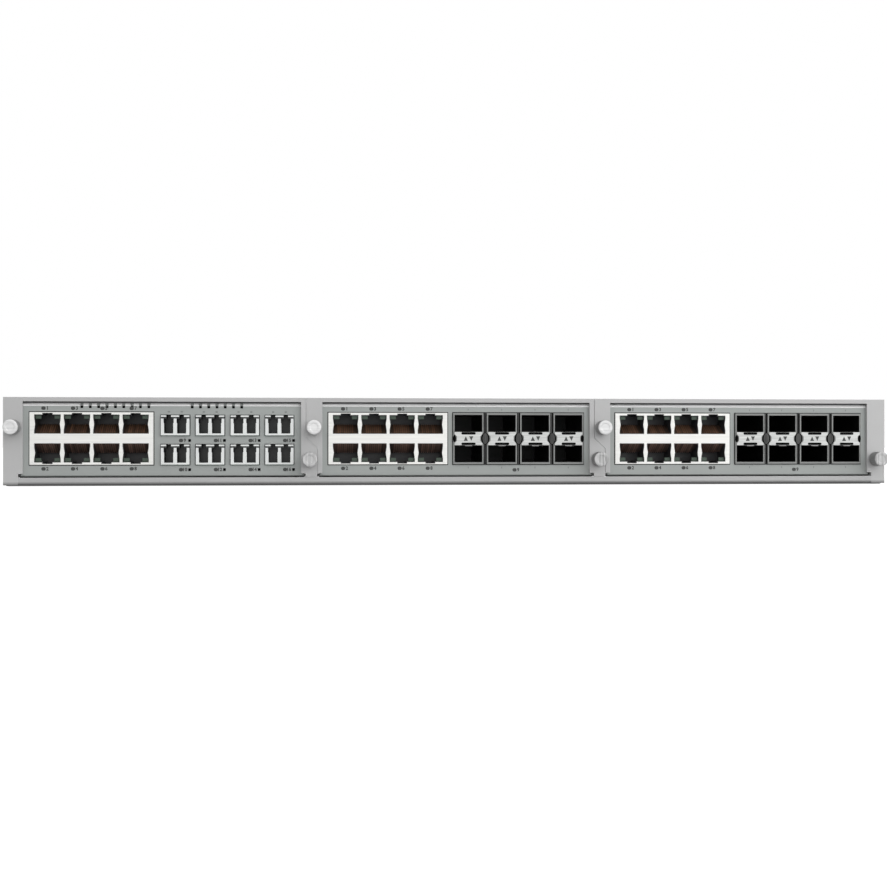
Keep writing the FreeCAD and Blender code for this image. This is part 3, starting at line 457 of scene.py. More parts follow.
def plastic_finish(name, colour, roughness=0.5, grain=1500.0, cavity_shade=None):
    """Moulded plastic with a fine grain, and painted shade in a cavity if one is given."""
    material, tree, shader = new_finish(name, colour, roughness)
    skin = place_group(tree, SKIN, Grain=grain, Drift=60.0)
    tone = mix_colour(tree, skin.outputs["Drift"], scaled(colour, MOULD_DARK), scaled(colour, MOULD_LIGHT))
    if cavity_shade:
        tone = darken_cavity(tree, tone, cavity_shade)
    tree.links.new(tone, shader.inputs["Base Color"])
    gloss = span(tree, skin.outputs["Grain"], roughness - MOULD_GLOSS, roughness + MOULD_GLOSS)
    tree.links.new(gloss, shader.inputs["Roughness"])
    add_bump(tree, shader, skin.outputs["Grain"], MOULD_GRAIN)
    return material


def contact_finish(name, upper, lower):
    """Drawn contacts whose shades vary from wire to wire; the lower row, which faces down, gets a paler colour as a
    painted highlight.
    """
    material, tree, shader = new_finish(name, upper, 0.5)
    shade = span(tree, place_group(tree, DRAWN, Lines=700.0).outputs["Lines"], 0.0, 1.0, *WIRE_RANGE)
    below = math_node(tree, "LESS_THAN", object_axis(tree, "Z"), middle("jack_shield_1").z)
    light = mix_colour(tree, below, upper, lower)
    dark = mix_colour(tree, below, scaled(upper, WIRE_DARK), scaled(lower, WIRE_DARK))
    tree.links.new(mix_colour(tree, shade, dark, light), shader.inputs["Base Color"])
    add_bump(tree, shader, shade, WIRE_DEPTH)
    return material


def void_finish(name):
    """Soot black without gloss, for gaps that no light reaches."""
    material, tree, shader = new_finish(name, (0.002, 0.002, 0.002), 0.9)
    shader.inputs["Specular IOR Level"].default_value = 0.05
    skin = place_group(tree, SKIN, Grain=1500.0)
    tree.links.new(span(tree, skin.outputs["Drift"], 0.8, 1.0), shader.inputs["Roughness"])
    return material


def board_finish(name, resist, track):
    """Green solder resist over copper tracks."""
    material, tree, shader = new_finish(name, resist, 0.35)
    bricks = tree.nodes.new("ShaderNodeTexBrick")
    for label, value in (("Scale", 110.0), ("Mortar Size", 0.035), ("Brick Width", 1.7), ("Row Height", 0.11)):
        bricks.inputs[label].default_value = value
    for label, colour in (("Color1", resist), ("Color2", scaled(resist, 0.85)), ("Mortar", track)):
        bricks.inputs[label].default_value = (*colour, 1.0)
    tree.links.new(object_place(tree), bricks.inputs["Vector"])
    tree.links.new(bricks.outputs["Color"], shader.inputs["Base Color"])
    add_bump(tree, shader, bricks.outputs["Fac"], TRACK_DEPTH)
    return material


# %% Make the plastics
# Painted shade: the bores of the fibre receptacles are darkened by the cavity mask.
FIBRE_BORE_SHADE = (cavity_of("fibre_receptacles_1", 0.2 * MM, 0.3 * MM), (0.012, 0.016, 0.0155))
black_plastic = plastic_finish("black plastic", (0.022, 0.022, 0.024))
socket_plastic = plastic_finish("socket plastic", (0.6, 0.57, 0.48))
# Each pair is the upper row, then the lower row, whose paler colour is a painted highlight.
contact_plastic = contact_finish("contact carrier", (0.07, 0.042, 0.028), (0.145, 0.095, 0.08))
contact_gilt = contact_finish("gilt contacts", (0.18, 0.094, 0.055), (0.31, 0.19, 0.15))
fibre_plastic = plastic_finish("fibre receptacle plastic", (0.8, 0.82, 0.81), 0.4, cavity_shade=FIBRE_BORE_SHADE)
void_black = void_finish("void black")
# Near-black for the frames round the port blocks: painted shade in the gaps of their cut-outs.
shadow_frame_black = plastic_finish("seal", (0.014, 0.015, 0.0145), 0.7)
gasket_grey = plastic_finish("top gasket", (0.2, 0.2, 0.205), 0.8)
light_pipe = plastic_finish("unlit light pipe", (0.012, 0.012, 0.012), 0.5)
bezel_grey = plastic_finish("lamp bezel", (0.2, 0.21, 0.205), 0.6)
lamp_green = plastic_finish("unlit green lamp", (0.028, 0.05, 0.032), 0.45)
print_ink = plastic_finish("printed marks", (0.05, 0.052, 0.05), 0.7)
pale_ink = plastic_finish("pale printed marks", (0.2, 0.21, 0.205), 0.6)
circuit_board = board_finish("circuit board", (0.02, 0.13, 0.065), (0.05, 0.22, 0.12))
print("plastics and boards made")


# %% [markdown]
# ## Dress the solids
#
# Every solid gets the finish of its slot in the record, in place of the plain colour that came with it. Shields and
# cages get one of their own, because each has its own painted shade in its cavity, and the plates of the cages are of a
# duller tin.

# %% Assign finishes
FINISH_OF_SLOT = {
    "chassis_paint": chassis_paint, "panel_paint": panel_paint, "port_plate_paint": plate_paint,
    "zinc_sheet": zinc_sheet, "bare_metal": bare_metal, "knob_metal": knob_highlit, "black_plastic": black_plastic,
    "socket_plastic": socket_plastic, "contact_plastic": contact_plastic, "fibre_plastic": fibre_plastic,
    "light_pipe": light_pipe, "circuit_board": circuit_board,
}
FINISH_OF_NODE = {f"jack_shield_{module}": finish for module, finish in zip(MODULES, shield_metals)}
for module, finish in zip(CAGE_MODULES, cage_metals):
    FINISH_OF_NODE[f"cage_block_{module}"] = finish
    FINISH_OF_NODE[f"cage_plates_{module}"] = plate_tin
for entry in frame["record"]["subparts"]:
    mesh = nodes[entry["node"]].data
    mesh.materials.clear()
    mesh.materials.append(FINISH_OF_NODE.get(entry["node"]) or FINISH_OF_SLOT[entry["material_slot"]])


# %% [markdown]
# ## Contacts and lamps in the copper jacks
#
# Each jack has eight spring contacts that slope up from its inner side over a carrier as wide as the opening, and a
# small lamp in each corner beside the latch's notch. Straight bars stand for the bent wires, because a mouth shows
# only their sloping part. The lower row is the upper one's mirror image about the block's middle, as in the real part.

# %% Jack contacts and lamps
SOCKET_PITCH = 14.0 * MM
WIRES = 8
WIRE_PITCH = 1.02 * MM
WIRE_SIZE = Vector((0.55, 0.0, 0.3)) * MM
CONTACT_FRONT, CONTACT_RUN = 1.4 * MM, 8.0 * MM
CONTACT_INNER, CONTACT_RISE = 2.5 * MM, 4.2 * MM
CARRIER_SIZE = Vector((12.0, 0.0, 0.3)) * MM
LAMP_SIZE = Vector((3.0, 0.6, 1.9)) * MM
SOCKET_HALF = 6.05 * MM
SOCKET_OUTER = 11.4 * MM
LAMP_DEPTH = 1.2 * MM
LAMP_EDGE = 0.2 * MM
WIRE_SHARE = 0.97
WIRE_LIFT = 0.3 * MM


def column_places(centre, pitch):
    """The middles of a block's four columns of ports."""
    return [centre + (column - (len(COLUMNS) - 1) / 2) * pitch for column in COLUMNS]


def add_jack_contacts(wires, carriers, front, centre):
    """Lay contact wires on sloping carriers in the upper jacks."""
    slope = Matrix.Rotation(math.atan2(CONTACT_RISE, CONTACT_RUN), 4, "X")
    length = Vector((0, math.hypot(CONTACT_RISE, CONTACT_RUN), 0))
    for x in column_places(centre.x, SOCKET_PITCH):
        at = Vector((x, front + CONTACT_FRONT + CONTACT_RUN / 2, centre.z + CONTACT_INNER + CONTACT_RISE / 2))
        half = (CARRIER_SIZE + length) / 2
        add_box(carriers, at - half, at + half, slope)
        half = (WIRE_SIZE + WIRE_SHARE * length) / 2
        for wire in range(WIRES):
            on = at + Vector(((wire - (WIRES - 1) / 2) * WIRE_PITCH, 0, WIRE_LIFT))
            add_box(wires, on - half, on + half, slope)


def add_jack_lamps(bm, front, centre):
    """Put a lamp in both outer corners of the upper jacks."""
    for x in column_places(centre.x, SOCKET_PITCH):
        for side in (-1, 1):
            at = Vector((x + side * (SOCKET_HALF - LAMP_SIZE.x / 2), front + LAMP_DEPTH,
                         centre.z + SOCKET_OUTER - LAMP_SIZE.z / 2))
            add_box(bm, at - LAMP_SIZE / 2, at + LAMP_SIZE / 2, soften=LAMP_EDGE)


def mirror_down(bm, height):
    """Add the image of everything so far about a level plane."""
    copies = bmesh.ops.duplicate(bm, geom=bm.verts[:] + bm.edges[:] + bm.faces[:])["geom"]
    flipped = [part for part in copies if isinstance(part, bmesh.types.BMVert)]
    mirror = Matrix.Translation((0, 0, 2 * height)) @ Matrix.Scale(-1, 4, (0, 0, 1))
    bmesh.ops.transform(bm, matrix=mirror, verts=flipped)


# %% Fill the jacks
for module in MODULES:
    centre, front = middle(f"jack_shield_{module}"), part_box(f"jack_housing_{module}")[0].y
    wires, carriers, lamps = bmesh.new(), bmesh.new(), bmesh.new()
    add_jack_contacts(wires, carriers, front, centre)
    add_jack_lamps(lamps, front, centre)
    for bm in (wires, carriers, lamps):
        mirror_down(bm, centre.z)
    body = f"module_{module}"
    finish_piece(f"jack_contacts_{module}", wires, body, contact_gilt)
    finish_piece(f"jack_carriers_{module}", carriers, body, contact_plastic)
    finish_piece(f"jack_lamps_{module}", lamps, body, lamp_green)


# %% [markdown]
# ## Knurled thumbscrews
#
# The solid knob is a plain cylinder. The real one has a dished face, a rounded rim and a knurled grip. A half section
# with the dish and the rim drawn in is spun about the screw's axis, and then every other face of the grip is set in a
# little, which gives straight knurling. The new knob stands for the CAD one and takes its size from that solid's box.

# %% Thumbscrews
KNURLS = 24
RIM = 0.5 * MM
RIM_FACE, RIM_BACK, RIM_DROP = 1.2 * RIM, 0.3 * RIM, 0.35 * RIM
DISH = 0.2 * MM
DISH_SHARE, FACE_SHARE, GRIP_SHARE = 0.5, 0.62, 0.9
KNOB_STAND = 0.6 * MM
SHANK_RADIUS = 1.45 * MM
KNURL_EDGE, KNURL_DEPTH = 0.08 * MM, 0.22 * MM


def make_thumbscrew(node):
    """Spin a knurled knob with its shank, in the place of a solid one."""
    low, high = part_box(node)
    axis = (low + high) / 2
    radius = (high.x - low.x) / 2
    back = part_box(f"front_panel_{node[-1]}")[0].y - KNOB_STAND
    section = [(low.y + DISH, 0.0), (low.y + DISH, DISH_SHARE * radius), (low.y, FACE_SHARE * radius),
               (low.y, radius - RIM_FACE), (low.y + RIM_BACK, radius - RIM_DROP), (low.y + RIM, radius),
               (back - RIM, radius), (back, radius - RIM), (back, SHANK_RADIUS), (high.y, SHANK_RADIUS),
               (high.y, 0.0)]
    bm = bmesh.new()
    add_turned(bm, section, (axis.x, 0, axis.z), (0, 1, 0), steps=2 * KNURLS)
    bmesh.ops.remove_doubles(bm, verts=bm.verts, dist=MERGE)
    bmesh.ops.recalc_face_normals(bm, faces=bm.faces)
    middles = {face: face.calc_center_median() - axis for face in bm.faces}
    grip = [face for face, at in middles.items()
            if low.y + RIM < at.y + axis.y < back - RIM and math.hypot(at.x, at.z) > GRIP_SHARE * radius]
    grip.sort(key=lambda face: math.atan2(middles[face].z, middles[face].x))
    bmesh.ops.inset_individual(bm, faces=grip[::2], thickness=KNURL_EDGE, depth=-KNURL_DEPTH)
    return bm


# %% Make the knobs
for module in MODULES:
    # The upper knobs take the copy with the painted highlight, the lower ones the copy with painted shade.
    for level, finish in (("upper", knob_highlit), ("lower", knob_shaded)):
        node = f"thumbscrew_{level}_{module}"
        knob = finish_piece(f"knob_{level}_{module}", make_thumbscrew(node), node, finish)
        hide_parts(node)


# %% [markdown]
# ## Printing helpers
#
# Port numbers, arrows and lozenges are printed, so prisms that stand a hair off their plate are enough. A picture
# would do too, but it would need a file, and a mesh stays sharp in a close view. A text object is turned into a mesh
# first, and only then put in its place, so that its object stays at the origin.

# %% Print helpers
INK = 0.04 * MM
MARK_HEIGHT = 1.7 * MM
NUMBER_SIZE = MARK_HEIGHT * 1.35
NUMBER_WEIGHT = 0.1 * MM
TRIANGLE_RISE = 1.5
END_SHARE = 0.45


def add_arrow(bm, at, half, rise, turn):
    """Print a triangle that points up, or down if turned half round."""
    made = bmesh.ops.create_cone(bm, cap_ends=True, segments=3, radius1=1.0, radius2=1.0, depth=1.0)["verts"]
    stand = Matrix.Rotation(math.pi / 2, 4, "X") @ Matrix.Rotation(turn, 4, "Z")
    size = Matrix.Diagonal((half / math.cos(math.pi / 6), INK, rise / TRIANGLE_RISE, 1.0))
    bmesh.ops.transform(bm, matrix=Matrix.Translation(at) @ size @ stand, verts=made)


def add_lozenge(bm, at, width, height):
    """Print a flat bar with rounded ends."""
    made = bmesh.ops.create_cube(bm, size=1.0)["verts"]
    bmesh.ops.transform(bm, matrix=Matrix.Translation(at) @ Matrix.Diagonal((width, INK, height, 1.0)), verts=made)
    edges = {edge for vert in made for edge in vert.link_edges}
    through = [edge for edge in edges if abs(edge.verts[0].co.y - edge.verts[1].co.y) > INK / 2]
    bmesh.ops.bevel(bm, geom=through, offset=END_SHARE * min(width, height), affect="EDGES", segments=3, profile=0.5,
                    material=-1)


def add_number(bm, number, at):
    """Print a number on a plate that faces the front, centred on a point."""
    curve = bpy.data.curves.new("mark", "FONT")
    curve.body = str(number)
    curve.align_x, curve.align_y = "CENTER", "CENTER"
    curve.size = NUMBER_SIZE
    curve.offset = NUMBER_WEIGHT
    curve.extrude = INK / 2
    curve.resolution_u = 2
    text = bpy.data.objects.new("mark", curve)
    bpy.context.scene.collection.objects.link(text)
    mesh = bpy.data.meshes.new_from_object(text.evaluated_get(bpy.context.evaluated_depsgraph_get()))
    mesh.transform(Matrix.Translation(at) @ Matrix.Rotation(math.pi / 2, 4, "X"))
    bm.from_mesh(mesh)
    bpy.data.objects.remove(text)
    bpy.data.curves.remove(curve)
    bpy.data.meshes.remove(mesh)


# %% [markdown]
# ## Springs and marks on the transceiver cages
#
# Between neighbouring cages a black filler stands in the gap as painted shade, with a strip of spring in front of it,
# and at half height an oval dimple in a black seat, which presses the two cages apart. The spring and the dimple have
# dark colours as painted shade, and the seat is painted shade round the dimple. Half a seat shows at both ends of the
# row. A dimple is spun like a turned part and then stretched upright. The light plate of each cage has a black slot
# for each latch, painted shade for its opening, with a lip beyond it in black and grey painted shade, and two printed
# arrows. The slots could be cut, but from the front thin dark bars look the same.

# %% Cage springs and arrows
CAGE_PITCH = 16.85 * MM
GAP_FILL_HALF = 0.78 * MM
GAP_FILL_FRONT, GAP_FILL_END = 1.4 * MM, 6 * MM
SPRING_HALF = 0.17 * MM
SPRING_FRONT = 0.8 * MM
DOME_RISE, DOME_EDGE = 0.05 * MM, 0.15 * MM
DIMPLE_SHARE = 0.6
SEAT_SINK = 0.2 * MM
SEAT = Vector((2.15, 0.0, 2.95)) * MM
DIMPLE = Vector((1.4, 0.0, 2.75)) * MM
END_SEAT = Vector((0.75, 0.0, 1.8)) * MM
PORT_HALF = 6.95 * MM
ARROW_HALF, ARROW_RISE, ARROW_SHIFT = 1.05 * MM, 2.3 * MM, 1.35 * MM
LATCH_SLOT = Vector((7.2, 2.6, 1.2)) * MM
LATCH_SHADE = Vector((8.2, 3.55, 0.56)) * MM
LATCH_LIP = Vector((3.6, 3.5, 0.5)) * MM


def add_oval(bm, centre, half, back):
    """Add an upright oval with a domed front, from its centre back to a plane."""
    before = set(bm.verts)
    add_turned(bm, [(0.0, 0.0), (DOME_RISE, DIMPLE_SHARE * half.x), (DOME_EDGE, half.x), (back - centre.y, half.x),
                    (back - centre.y, 0.0)], centre, (0, 1, 0))
    made = [vert for vert in bm.verts if vert not in before]
    bmesh.ops.scale(bm, vec=(1, 1, half.z / half.x), space=Matrix.Translation(-centre), verts=made)


def add_gap_parts(x, cage_low, cage_high, plate, gap_fills, springs, seats, dimples):
    """Fill the gap between two cages with dark pieces of painted shade."""
    level = (cage_low.z + cage_high.z) / 2
    add_box(gap_fills, (x - GAP_FILL_HALF, cage_low.y + GAP_FILL_FRONT, cage_low.z),
            (x + GAP_FILL_HALF, cage_low.y + GAP_FILL_END, cage_high.z))
    add_box(springs, (x - SPRING_HALF, cage_low.y + SPRING_FRONT, cage_low.z),
            (x + SPRING_HALF, cage_low.y + GAP_FILL_FRONT, cage_high.z))
    add_oval(seats, Vector((x, plate + SEAT_SINK, level)), SEAT, cage_low.y)
    add_oval(dimples, Vector((x, plate, level)), DIMPLE, cage_low.y)


def add_plate_marks(x, level, plate, slots, lips, arrows):
    """Add both latches' slots, lips and arrows to a cage's plate; the slots and lips are painted shade."""
    for side, turn in ((-1, 0.0), (1, math.pi)):
        for bar in (LATCH_SLOT, LATCH_SHADE):
            add_lozenge(slots, (x, plate, level + side * bar.y), bar.x, bar.z)
        add_arrow(arrows, (x + side * ARROW_SHIFT, plate, level + side * ARROW_RISE / 6), ARROW_HALF, ARROW_RISE, turn)
    add_lozenge(lips, (x, plate - INK, level - LATCH_LIP.y), LATCH_LIP.x, LATCH_LIP.z)


# %% Dress the cages
for module in CAGE_MODULES:
    low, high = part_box(f"cage_block_{module}")
    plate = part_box(f"cage_plates_{module}")[0].y
    columns = column_places((low.x + high.x) / 2, CAGE_PITCH)
    gap_fills, springs, seats, dimples, lips, arrows = (bmesh.new() for _ in range(6))
    for x in columns[:-1]:
        add_gap_parts(x + CAGE_PITCH / 2, low, high, plate, gap_fills, springs, seats, dimples)
    for x in (columns[0] - PORT_HALF, columns[-1] + PORT_HALF):
        add_oval(seats, Vector((x, plate + SEAT_SINK, (low.z + high.z) / 2)), END_SEAT, low.y)
    for x in columns:
        add_plate_marks(x, (low.z + high.z) / 2, plate, seats, lips, arrows)
    body = f"module_{module}"
    finish_piece(f"cage_gap_fills_{module}", gap_fills, body, void_black)
    finish_piece(f"cage_springs_{module}", springs, body, spring_shaded)
    finish_piece(f"dimple_seats_{module}", seats, body, void_black)
    finish_piece(f"cage_dimples_{module}", dimples, body, dimple_shaded, smooth=True)
    finish_piece(f"latch_lips_{module}", lips, body, latch_lip_shaded)
    finish_piece(f"cage_arrows_{module}", arrows, body, print_ink)


# %% [markdown]
# ## Painted shade round the ports, and lamp lenses
#
# A near-black frame fills the gap between each block of ports and the cut-out in its plate as painted shade, which
# draws a thin line round the block, and a strip of gasket lies on top of each plate. Only their fronts show, so boxes
# are enough. The lamps of the first module are round dark lenses: two rows in slots along the top fold, each below a
# grey bezel, and one beside each fibre receptacle. A lens could be a dot in the paint, but a spun disc keeps its sharp
# edge in a close view.

# %% Shadow frames and lenses
SHADE_BAND = 0.45 * MM
FRAME_PROUD, FRAME_DEPTH = 0.06 * MM, 0.5 * MM
GASKET_RISE = 0.6 * MM
GASKET_BACK = 1.2 * MM
GASKET_WIDTH = GASKET_INSET = 2 * MM
GASKET_EDGE = 0.15 * MM
LENS_PITCH = 4.0 * MM
LENS_GROUPS = ((1.4 * MM, 9), (54.3 * MM, 7))
LENS_RADIUS, LENS_SHARE = 0.68 * MM, 0.7
LENS_DROP = 1.7 * MM
LENS_DEPTH = 0.2 * MM
LENS_SINK = 0.05 * MM
BEZEL_HALF = 0.66 * MM
BEZEL_DROP, BEZEL_HEAD = 1.25 * MM, 0.05 * MM
BEZEL_FRONT, BEZEL_BACK = 0.1 * MM, 0.9 * MM
FIBRE_LENS_DROP = 2.5 * MM
FIBRE_UPPER_FOOT = 2.25 * MM


def add_seal(bm, low, high, plate):
    """Add a flat dark frame round a block of ports, as painted shade in the gap of its cut-out."""
    front, back = plate - FRAME_PROUD, plate + FRAME_DEPTH
    for x in (low.x - SHADE_BAND, high.x):
        add_box(bm, (x, front, low.z - SHADE_BAND), (x + SHADE_BAND, back, high.z + SHADE_BAND))
    for z in (low.z - SHADE_BAND, high.z):
        add_box(bm, (low.x, front, z), (high.x, back, z + SHADE_BAND))


def add_lens(bm, x, y, z):
    """Add a round lens with a slightly domed face."""
    add_turned(bm, [(0.0, 0.0), (DOME_RISE, LENS_SHARE * LENS_RADIUS), (DOME_EDGE, LENS_RADIUS),
                    (LENS_DEPTH, LENS_RADIUS), (LENS_DEPTH, 0.0)], (x, y, z), (0, 1, 0), steps=16)


# %% Fit the shadow frames
for module in MODULES:
    tray_low, tray_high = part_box(f"module_tray_{module}")
    shadow_frames, gasket = bmesh.new(), bmesh.new()
    add_seal(shadow_frames, *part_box(f"jack_shield_{module}"), tray_low.y)
    if module in CAGE_MODULES:
        add_seal(shadow_frames, *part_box(f"cage_block_{module}"), tray_low.y)
    add_box(gasket, (tray_low.x + GASKET_INSET, tray_low.y + GASKET_BACK, tray_high.z),
            (tray_high.x - GASKET_INSET, tray_low.y + GASKET_BACK + GASKET_WIDTH, tray_high.z + GASKET_RISE),
            soften=GASKET_EDGE)
    finish_piece(f"port_shadow_frames_{module}", shadow_frames, f"module_{module}", shadow_frame_black)
    finish_piece(f"top_gasket_{module}", gasket, f"module_{module}", gasket_grey)


# %% Fit the lenses
low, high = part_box("module_tray_1")
fibre_low, fibre_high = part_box("fibre_receptacles_1")
fibre_feet = (fibre_low.z, (fibre_low.z + fibre_high.z) / 2 + FIBRE_UPPER_FOOT)
lenses, bezels = bmesh.new(), bmesh.new()
for first, count in LENS_GROUPS:
    for index in range(count):
        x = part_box("status_lights_1")[0].x + first + index * LENS_PITCH
        add_lens(lenses, x, low.y + LENS_SINK, high.z - LENS_DROP)
        add_box(bezels, (x - BEZEL_HALF, low.y + BEZEL_FRONT, high.z - BEZEL_DROP),
                (x + BEZEL_HALF, low.y + BEZEL_BACK, high.z - BEZEL_HEAD))
for column in COLUMNS:
    for foot in fibre_feet:
        right = fibre_high.x + (column - COLUMNS[-1]) * CAGE_PITCH
        add_lens(lenses, right, low.y - LENS_DEPTH, foot - FIBRE_LENS_DROP)
finish_piece("status_lenses_1", lenses, "module_1", void_black)
finish_piece("status_bezels_1", bezels, "module_1", bezel_grey)


# %% [markdown]
# ## Printed marks
#
# Each port has a small printed mark with a plain number: upper jacks are marked above and lower ones below, and each
# fibre receptacle beside its lamp. Paler ticks show the middle of each cage and fibre mouth.

# %% Mark helpers
MARK_SHIFTS = (1.2 * MM, 0.5 * MM, 0.5 * MM)
JACK_MARK_RISE, JACK_MARK_DROP = 1.9 * MM, 2.0 * MM
CAGE_MARK_SHIFT, CAGE_MARK_DROP = 1.2 * MM, 2.9 * MM
FIBRE_MARK_SHIFT = 3.4 * MM
FIBRE_MARK_DROPS = (0.25 * MM, 2.5 * MM)
LOZENGE_WIDTH, LOZENGE_SHIFT = 2.1 * MM, 0.75 * MM
NUMBER_SHIFT = 1.1 * MM
TICK = Vector((0.35, 0.0, 1.0)) * MM
TICK_STEP = 1.7 * MM
FIBRE_TICK = Vector((1.2, 0.0, 0.7)) * MM
FIBRE_HALF, MOUTH_SHIFT = 6.9 * MM, 3.1 * MM
JACKS = 8


def add_port_mark(bm, number, at):
    """Print a port's lozenge, with its number to the right."""
    at = Vector(at)
    add_lozenge(bm, at - Vector((LOZENGE_SHIFT, 0, 0)), LOZENGE_WIDTH, MARK_HEIGHT)
    add_number(bm, number, at + Vector((NUMBER_SHIFT, 0, 0)))


# %% Print the marks
for module, shift in zip(MODULES, MARK_SHIFTS):
    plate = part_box(f"module_tray_{module}")[0].y
    low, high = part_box(f"jack_shield_{module}")
    marks = bmesh.new()
    for column, x in enumerate(column_places(middle(f"jack_shield_{module}").x, SOCKET_PITCH)):
        add_port_mark(marks, 2 * column + 1, (x - shift, plate, high.z + JACK_MARK_RISE))
        add_port_mark(marks, 2 * column + 2, (x - shift, plate, low.z - JACK_MARK_DROP))
    ticks = bmesh.new()
    if module in CAGE_MODULES:
        low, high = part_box(f"cage_block_{module}")
        for x in column_places((low.x + high.x) / 2, CAGE_PITCH):
            for z in (high.z + TICK_STEP, low.z - TICK_STEP):
                add_lozenge(ticks, (x, plate, z), TICK.x, TICK.z)
        add_port_mark(marks, JACKS + 1, ((low.x + high.x) / 2 - CAGE_MARK_SHIFT, plate, low.z - CAGE_MARK_DROP))
    else:
        low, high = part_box("fibre_receptacles_1")
        for column in COLUMNS:
            right = high.x + (column - COLUMNS[-1]) * CAGE_PITCH
            for number, z in ((2 * column + JACKS + 1, (low.z + high.z) / 2 - FIBRE_MARK_DROPS[0]),
                              (2 * column + JACKS + 2, low.z - FIBRE_MARK_DROPS[1])):
                add_port_mark(marks, number, (right - FIBRE_MARK_SHIFT, plate, z))
            for mouth in (-1, 1):
                x = right - FIBRE_HALF + mouth * MOUTH_SHIFT
                add_lozenge(ticks, (x, plate, high.z + TICK_STEP), FIBRE_TICK.x, FIBRE_TICK.z)
    finish_piece(f"port_marks_{module}", marks, f"module_{module}", print_ink)
    finish_piece(f"port_ticks_{module}", ticks, f"module_{module}", pale_ink)


# %% [markdown]
# ## Screws
#
# Pan-head screws hold the modules' boards to their standoffs, the fan and the inlet to the rear wall and the lid to
# its rear flange. A domed head is spun from its half section. Two thin black bars across it stand for the cross recess
# as painted shade, which spares a cut in each head.

# %% Screws
HEAD_RADIUS = 2.6 * MM
HEAD_RISE = 1.5 * MM
HEAD_SECTION = ((0.0, 0.0), (0.0, 1.0), (0.6, 1.0), (0.9, 0.75), (1.0, 0.4), (1.0, 0.0))
RECESS = Vector((2.6, 0.5, 0.5)) * MM
RECESS_SINK = 0.2 * MM


def add_screw(heads, recesses, foot, axis):
    """Add a pan head with a cross recess, which stands on a point."""
    foot, axis = Vector(foot), Vector(axis)
    section = [(along * HEAD_RISE, out * HEAD_RADIUS) for along, out in HEAD_SECTION]
    add_turned(heads, section, foot, axis, steps=20)
    stand = axis.to_track_quat("Z", "Y").to_matrix().to_4x4()
    centre = foot + axis * (HEAD_RISE - RECESS_SINK)
    for quarter in (0, 1):
        add_box(recesses, centre - RECESS / 2, centre + RECESS / 2,
                stand @ Matrix.Rotation(quarter * math.pi / 2, 4, "Z"))


def add_screws(name, places, axis, body):
    """Make a set of screws, and black bars of painted shade for the recesses of their heads."""
    heads, recesses = bmesh.new(), bmesh.new()
    for place in places:
        add_screw(heads, recesses, place, axis)
    finish_piece(f"{name}_screws", heads, body, bare_metal, smooth=True)
    finish_piece(f"{name}_recesses", recesses, body, black_plastic)


# %% Screw down the boards
BOARD_SCREW_INSET = 6.0 * MM
BOARD_SCREW_BACK = 12.0 * MM
BOARD_SCREW_SPREAD = 84.0 * MM
for module in MODULES:
    low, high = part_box(f"module_board_{module}")
    add_screws(f"board_{module}", [(x, high.y - BOARD_SCREW_BACK - step * BOARD_SCREW_SPREAD, high.z)
                                   for x in (low.x + BOARD_SCREW_INSET, high.x - BOARD_SCREW_INSET) for step in (0, 1)],
               (0, 0, 1), f"module_{module}")


# %% Screws at the rear
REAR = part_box("base_tray")[1].y
FAN_REACH = 16.0 * MM
INLET_SCREW_GAP = 5 * MM
LID_SCREWS = (-150 * MM, -50 * MM, 20 * MM, 170 * MM)
LID_SCREW_DROP = 6 * MM
fan = middle("fan_frame")
inlet_low, inlet_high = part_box("power_inlet")
rear_places = [(fan.x + side * FAN_REACH, REAR, fan.z + rise * FAN_REACH) for side in (-1, 1) for rise in (-1, 1)]
rear_places += [(x, REAR, middle("power_inlet").z)
                for x in (inlet_low.x - INLET_SCREW_GAP, inlet_high.x + INLET_SCREW_GAP)]
rear_places += [(x, REAR, cad_box[1].z - LID_SCREW_DROP) for x in LID_SCREWS]
add_screws("rear", rear_places, (0, 1, 0), "chassis")


# %% [markdown]
# ## Parts on the boards
#
# A drawn-out module shows its board, so the board carries what such boards have: a switch chip under a finned heat
# sink, memory chips, a row of transformers behind the jacks and a few tall capacitors. Boxes with soft edges and
# spun cans are enough, because they are only seen from above and behind.

# %% Board parts
SINK_SIZE = Vector((36, 36, 12)) * MM
FINS = 10
FIN_WALL = 1.2 * MM
SINK_BASE = 3.0 * MM
SINK_EDGE, PART_EDGE = 0.3 * MM, 0.25 * MM
SINK_PLACE = Vector((-8, -62, 0)) * MM
CHIP_SIZE = Vector((14, 9, 1.2)) * MM
CHIP_PLACES = [Vector((-8 + side * 34, -52 - row * 20, 0)) * MM for side in (-1, 1) for row in (0, 1)]
PULSE_SIZE = Vector((12, 9, 5)) * MM
PULSE_GAP = 9 * MM
CAN_RADIUS, CAN_RISE, CAN_RIM = 4.0 * MM, 11.0 * MM, 0.6 * MM
CAN_PLACES = [Vector((48, -24 - 12 * step, 0)) * MM for step in range(3)]


def add_heat_sink(bm, foot):
    """Add a finned block that stands on a point."""
    add_box(bm, foot - Vector((SINK_SIZE.x, SINK_SIZE.y, 0)) / 2,
            foot + Vector((SINK_SIZE.x / 2, SINK_SIZE.y / 2, SINK_BASE)), soften=SINK_EDGE)
    for fin in range(FINS):
        x = foot.x + (fin / (FINS - 1) - 0.5) * (SINK_SIZE.x - FIN_WALL)
        add_box(bm, (x - FIN_WALL / 2, foot.y - SINK_SIZE.y / 2, foot.z + SINK_BASE),
                (x + FIN_WALL / 2, foot.y + SINK_SIZE.y / 2, foot.z + SINK_SIZE.z))


def add_standing_box(bm, foot, size):
    """Add a soft-edged box that stands on a point."""
    add_box(bm, foot - Vector((size.x, size.y, 0)) / 2, foot + Vector((size.x / 2, size.y / 2, size.z)),
            soften=PART_EDGE)


